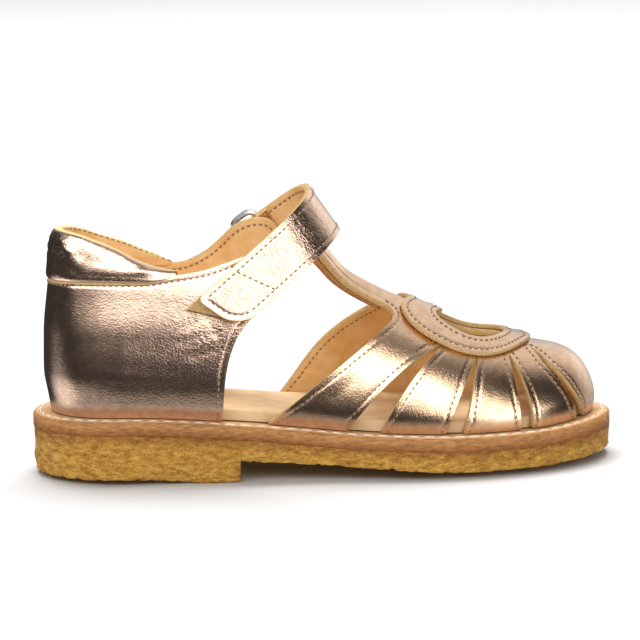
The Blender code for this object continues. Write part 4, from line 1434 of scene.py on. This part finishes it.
def add_ankle_strap(finish):
    upper_bar = ring_bars()[0]
    path = arch_path() + hook_path(*upper_bar, 0, 180, RING_WIRE + GAP + STRAP_THICK)[1:]
    path += straight_path(path[-1], (path[-1][0] + HOOK_CLOSING, upper_bar[1] - HOOK_TAIL))
    sheet = ribbon_sheet(path, strap_half, STRAP_ROWS, strap_outside)
    distance = sheet.edge_distance()
    reach, sideways = sheet.flat.T
    sheet.points = press(sheet.points, sheet.normals, STRAP_CREASES)
    fields = leather_fields(sheet, distance, reach, sideways, STRAP_SPOTS)
    shell = add_shell("strap_skin", sheet, STRAP_THICK, finish.shell(finish.strap), fields)
    settle(shell, "strap_leather", "ankle_strap")
    lines = both_faces(level_lines(sheet, distance, SEAM_INSET), STRAP_THICK)
    slant = reach - CROSS_SEAM[0] - CROSS_SEAM[1] * sideways
    kept = slice(CROSS_SEAM_TRIM, -CROSS_SEAM_TRIM)
    lines += [(points[kept], normals[kept]) for points, normals in level_lines(sheet, slant, 0.0)]
    add_seams("strap_seams", lines, finish.thread, "strap_leather")


def add_ring_tab(finish):
    lower_bar = ring_bars()[1]
    turn = hook_path(*lower_bar, 180, 360, RING_WIRE + GAP + TAB_THICK)
    start = (turn[0][0] + TAB_CLOSING, lower_bar[1] + TAB_LENGTH)
    path = [start] + straight_path(start, turn[0]) + turn[1:]
    path += straight_path(turn[-1], (turn[-1][0], lower_bar[1] + TAB_LENGTH))
    sheet = ribbon_sheet(path, lambda reach: np.full(len(reach), TAB_HALF_WIDTH), STRAP_ROWS)
    distance = sheet.edge_distance()
    fields = leather_fields(sheet, distance, sheet.flat[:, 0], sheet.flat[:, 1], ())
    shell = add_shell("tab_skin", sheet, TAB_THICK, finish.shell(finish.strap), fields)
    settle(shell, "tab_leather", "ring_tab")


def add_strap_patch(finish):
    """Hook-and-loop patch on the outer side of the quarter."""

    def warp(a, b):
        sideways = -b * PATCH_HALF_WIDTH
        end = PATCH_SPAN[1] - PATCH_SKEW * (sideways + PATCH_HALF_WIDTH)
        return spread(a, PATCH_SPAN[0], end), sideways

    def place(drop, sideways):
        aim = strap_frame(np.full(len(drop), -ARCH_HALF["lateral"]), drop, sideways)
        height = aim[:, 2] - welt_height(aim[:, 0]) - GAP
        return quarter_point(-EDGES["lateral"].length_at(aim[:, 0]), height, GAP + PATCH_THICK)

    sheet = cut_sheet(PATCH_COLUMNS, PATCH_ROWS, warp, None, place)
    distance = sheet.edge_distance()
    materials = [finish.loops, finish.edge, finish.edge]
    shell = add_shell("patch_loops", sheet, PATCH_THICK, materials, {"edge_distance": distance})
    settle(shell, "patch_fabric", "strap_patch")


def sole_loop(inset, front_x=None):
    """Loop round the sole edge, from the heel along the lateral side and back along the medial side."""
    loops = []
    for side in SIDES:
        edge = EDGES[side]
        last = edge.length[-1] if front_x is None else float(edge.length_at(front_x))
        length = np.linspace(0, last, SIDE_STATIONS)
        point = np.stack(edge.at(length, 0), axis=1)
        inward = np.stack(edge.at(length, 1), axis=1) - point
        loops.append((point + inward * inset, inward))
    lateral, medial = loops
    points = [lateral[0]]
    inwards = [lateral[1]]
    if front_x is not None:
        share = np.linspace(0, 1, BREAST_STATIONS)[:, None]
        points.append(lateral[0][-1] * (1 - share) + medial[0][-1] * share)
        inwards.append(np.tile((-1.0, 0.0), (BREAST_STATIONS, 1)))
    points.append(medial[0][:0:-1])
    inwards.append(medial[1][:0:-1])
    return np.concatenate(points), np.concatenate(inwards)


def sole_rings(loop, profile):
    """Rings of points down the side of a sole layer: profile gives inset and a height function for each."""
    points, inwards = loop
    rings = []
    for inset, height in profile:
        flat = points + inwards * inset
        rings.append(np.column_stack((flat, height(flat[:, 0]))))
    return rings


def ring_faces(ring_count, size):
    faces = []
    for ring in range(ring_count - 1):
        for i in range(size):
            j = (i + 1) % size
            base = ring * size
            faces.append((base + i, base + size + i, base + size + j, base + j))
    return faces


def cap_faces(base, size, upward):
    """Strips across a loop, from the lateral side to the medial side."""
    faces = []
    for i in range(size // 2 - 1):
        face = (base + i, base + i + 1, base + (size - i - 2) % size, base + (size - i - 1) % size)
        faces.append(face if upward else face[::-1])
    return faces


def add_layer(name, loop, top, bottom, taper, roundings, rows, materials, wobble, middle=None):
    """Sole layer with rounded edges and an uneven wall, in one material on top and one on the rest."""
    upper, lower = roundings
    deep = CAP_INSET
    profile = [(deep, top), (deep / 2, top), (upper * 2, top), (upper, top)]
    turns = np.linspace(0, math.pi / 2, CORNER_STEPS + 1)[1:]
    for turn in turns:
        drop = upper * (1 - math.cos(turn))
        profile.append((upper * (1 - math.sin(turn)), lambda x, drop=drop: top(x) - drop))
    for share in np.linspace(0, 1, rows)[1:]:

        def height(x, share=share):
            return (top(x) - upper) * (1 - share) + (bottom(x) + lower) * share

        profile.append((taper * share, height))
    for turn in turns:
        rise = lower * (1 - math.sin(turn))
        profile.append((taper + lower * (1 - math.cos(turn)), lambda x, rise=rise: bottom(x) + rise))
    profile += [(taper + lower * 2, bottom), (taper + deep, middle or bottom)]
    rings = sole_rings(loop, profile)
    size = len(loop[0])
    points = np.concatenate(rings)
    x, y, z = points.T
    depth = (top(x) - z) / (top(x) - bottom(x))
    points = points + wobble(points, depth)
    faces = ring_faces(len(rings), size)
    kinds = [0 if i < TOP_RINGS * size else 1 for i in range(len(faces))]
    for base, upward in ((0, True), ((len(rings) - 1) * size, False)):
        caps = cap_faces(base, size, upward)
        faces += caps
        kinds += [0 if upward else 1] * len(caps)
    return add_mesh(name, points, faces, materials, kinds, {"depth": depth})


def crumbs(points, depth):
    """Unevenness of a crepe wall and of its lower edge, which is only ever raised."""
    height = sum(share * ripples(points, size, seed) for size, share, seed in CREPE_LUMPS)
    out = np.zeros_like(points)
    out[:, 0] = ripples(points, *CREPE_SWAY) * CREPE_DEPTH / 2
    out[:, 1] = np.sign(points[:, 1]) * height * CREPE_DEPTH
    out[:, 2] = np.abs(ripples(points, *CREPE_TEAR)) * CREPE_DEPTH * smooth_step(*TEAR_RANGE, depth)
    return out


def still(points, depth):
    return np.zeros_like(points)


def add_soles(finish):
    def welt_foot(x):
        return welt_height(x) - MIDSOLE_THICK

    def insole_base(x):
        return welt_height(x) + GAP

    midsole = add_layer(
        "midsole_welt", sole_loop(0.0), welt_height, welt_foot,
        0.0, MIDSOLE_ROUND, MIDSOLE_ROWS, [finish.welt, finish.midsole], still,
    )
    settle(midsole, "midsole_leather", "midsole")
    outsole = add_layer(
        "outsole_crepe", sole_loop(OUTSOLE_INSET), welt_foot, tread_height,
        OUTSOLE_TAPER, OUTSOLE_ROUND, OUTSOLE_ROWS, [finish.crepe, finish.crepe], crumbs, tread_middle,
    )
    settle(outsole, "sole_crepe", "outsole")
    heel = add_layer(
        "heel_crepe", sole_loop(OUTSOLE_INSET + OUTSOLE_TAPER - HEEL_LEDGE, HEEL_BREAST_X),
        lambda x: tread_height(x) + HEEL_OVERLAP, lambda x: heel_tread(x) - EDGE_CLEARANCE,
        HEEL_TAPER - OUTSOLE_TAPER, HEEL_ROUND, HEEL_ROWS, [finish.heel_crepe, finish.heel_crepe], crumbs,
    )
    settle(heel, "heel_crepe", "heel_lift")
    insole = add_layer(
        "insole_leather", sole_loop(WELT_MARGIN + LEATHER + GAP),
        lambda x: insole_base(x) + INSOLE_THICK, insole_base,
        0.0, INSOLE_ROUND, INSOLE_ROWS, [finish.insole, finish.insole], still,
    )
    settle(insole, "insole_leather", "insole")
    points, inwards = sole_loop(WELT_STITCH_INSET)
    line = np.column_stack((points, welt_height(points[:, 0])))
    line = np.concatenate((line, line[:1]))
    lines = [(line, np.tile((0.0, 0.0, 1.0), (len(line), 1)))]
    stitches = add_stitches(
        "welt_stitches", lines, finish.welt_thread, WELT_STITCH_PITCH, WELT_STITCH_LENGTH, WELT_STITCH_RADIUS,
    )
    settle(stitches, "midsole_leather")


def finish_ring(finish):
    """The ring keeps its solid, with a plated finish."""
    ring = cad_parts["strap_ring"]
    for slot in ring.material_slots:
        slot.material = finish.steel


def look_from(azimuth, elevation, roll):
    """Right, up and back directions of a camera."""
    turned = math.radians(azimuth)
    raised = math.radians(elevation)
    level = Vector((math.sin(turned), -math.cos(turned), 0))
    back = level * math.cos(raised) + Vector((0, 0, math.sin(raised)))
    right = Vector((math.cos(turned), math.sin(turned), 0))
    turn = Matrix.Rotation(-math.radians(roll), 3, back)
    return turn @ right, turn @ back.cross(right), back


def add_camera():
    right, up, back = look_from(CAMERA_AZIMUTH, CAMERA_ELEVATION, CAMERA_ROLL)
    aim = Vector(CAMERA_AIM) + right * CAMERA_SLIDE[0] + up * CAMERA_SLIDE[1]
    data = bpy.data.cameras.new("camera")
    data.lens = CAMERA_LENS
    data.sensor_width = SENSOR_WIDTH
    data.clip_start = CAMERA_CLIP
    camera = bpy.data.objects.new("camera", data)
    place = Matrix((right, up, back)).transposed().to_4x4()
    place.translation = (aim + back * CAMERA_DISTANCE) * MM
    camera.matrix_world = place
    bpy.context.scene.collection.objects.link(camera)
    bpy.context.scene.camera = camera


def faded(tree, value, start, end):
    """Smooth change from 0 to 1 while a value goes from start to end."""
    inputs = {"Value": value, "From Min": start, "From Max": end}
    return add_node(tree, "ShaderNodeMapRange", inputs, interpolation_type="SMOOTHSTEP").outputs["Result"]


def facing(tree, direction, axis):
    """Cosine between a direction and an axis."""
    inputs = {0: direction, 1: axis}
    return add_node(tree, "ShaderNodeVectorMath", inputs, operation="DOT_PRODUCT").outputs["Value"]


def softbox(tree, direction, azimuth, elevation, roll, half_width, half_height, edge, brightness):
    """Light of a soft-edged rectangle that faces the shoe."""
    right, up, back = look_from(azimuth, elevation, roll)
    ahead = facing(tree, direction, back)
    light = faded(tree, ahead, 0.0, edge)
    for axis, half in ((right, half_width), (up, half_height)):
        offset = math_node(tree, "ABSOLUTE", math_node(tree, "DIVIDE", facing(tree, direction, axis), ahead))
        size = math.tan(math.radians(half))
        light = math_node(tree, "MULTIPLY", light, faded(tree, offset, size + edge, size - edge))
    return math_node(tree, "MULTIPLY", light, brightness)


def add_studio():
    """Dim room with softboxes in front of the shoe and broad glows round it."""
    world = bpy.data.worlds.new("studio")
    bpy.context.scene.world = world
    world.use_nodes = True
    tree = world.node_tree
    direction = add_node(tree, "ShaderNodeTexCoord").outputs["Generated"]
    light = ROOM_GLOW
    for row in SOFTBOXES:
        light = math_node(tree, "ADD", softbox(tree, direction, *row), light)
    for axis, start, full, brightness in GLOWS:
        glow = faded(tree, facing(tree, direction, axis), start, full)
        light = math_node(tree, "MULTIPLY_ADD", glow, brightness, light)
    matt = add_node(tree, "ShaderNodeLightPath").outputs["Is Diffuse Ray"]
    share = math_node(tree, "MULTIPLY_ADD", matt, STUDIO_SHARE - 1, 1.0)
    background = tree.nodes["Background"]
    background.inputs["Color"].default_value = (1, 1, 1, 1)
    tree.links.new(math_node(tree, "MULTIPLY", light, share), background.inputs["Strength"])


def add_lamp():
    """Soft lamp above and behind, for the floor and the inside of the shoe; no reflection shows it."""
    data = bpy.data.lights.new("lamp", "AREA")
    data.size = LAMP_SIZE
    data.energy = LAMP_POWER
    lamp = bpy.data.objects.new("lamp", data)
    lamp.location = LAMP_PLACE
    lamp.rotation_euler = (-Vector(LAMP_PLACE)).to_track_quat("-Z", "Y").to_euler()
    lamp.visible_glossy = False
    bpy.context.scene.collection.objects.link(lamp)


def add_floor():
    material, tree, shader = new_material("floor", Roughness=0.9, Specular_IOR_Level=0.1)
    tone = ramp(tree, noise(tree, place_in_mm(tree), FLOOR_MOTTLE), FLOOR_STOPS)
    tree.links.new(tone, shader.inputs["Base Color"])
    bm = bmesh.new()
    bmesh.ops.create_grid(bm, x_segments=1, y_segments=1, size=FLOOR_SIZE / 2)
    mesh = bpy.data.meshes.new("floor")
    bm.to_mesh(mesh)
    bm.free()
    mesh.materials.append(material)
    floor = bpy.data.objects.new("floor", mesh)
    floor.visible_glossy = False
    bpy.context.scene.collection.objects.link(floor)


def main():
    finish = Finish()
    add_soles(finish)
    add_vamp(finish)
    add_bar_fold(finish)
    add_heart_overlay(finish)
    add_quarter(finish)
    add_collar(finish)
    add_ankle_strap(finish)
    add_strap_patch(finish)
    add_ring_tab(finish)
    finish_ring(finish)
    add_camera()
    add_studio()
    add_lamp()
    add_floor()
    bpy.context.scene.view_settings.view_transform = "Standard"


main()
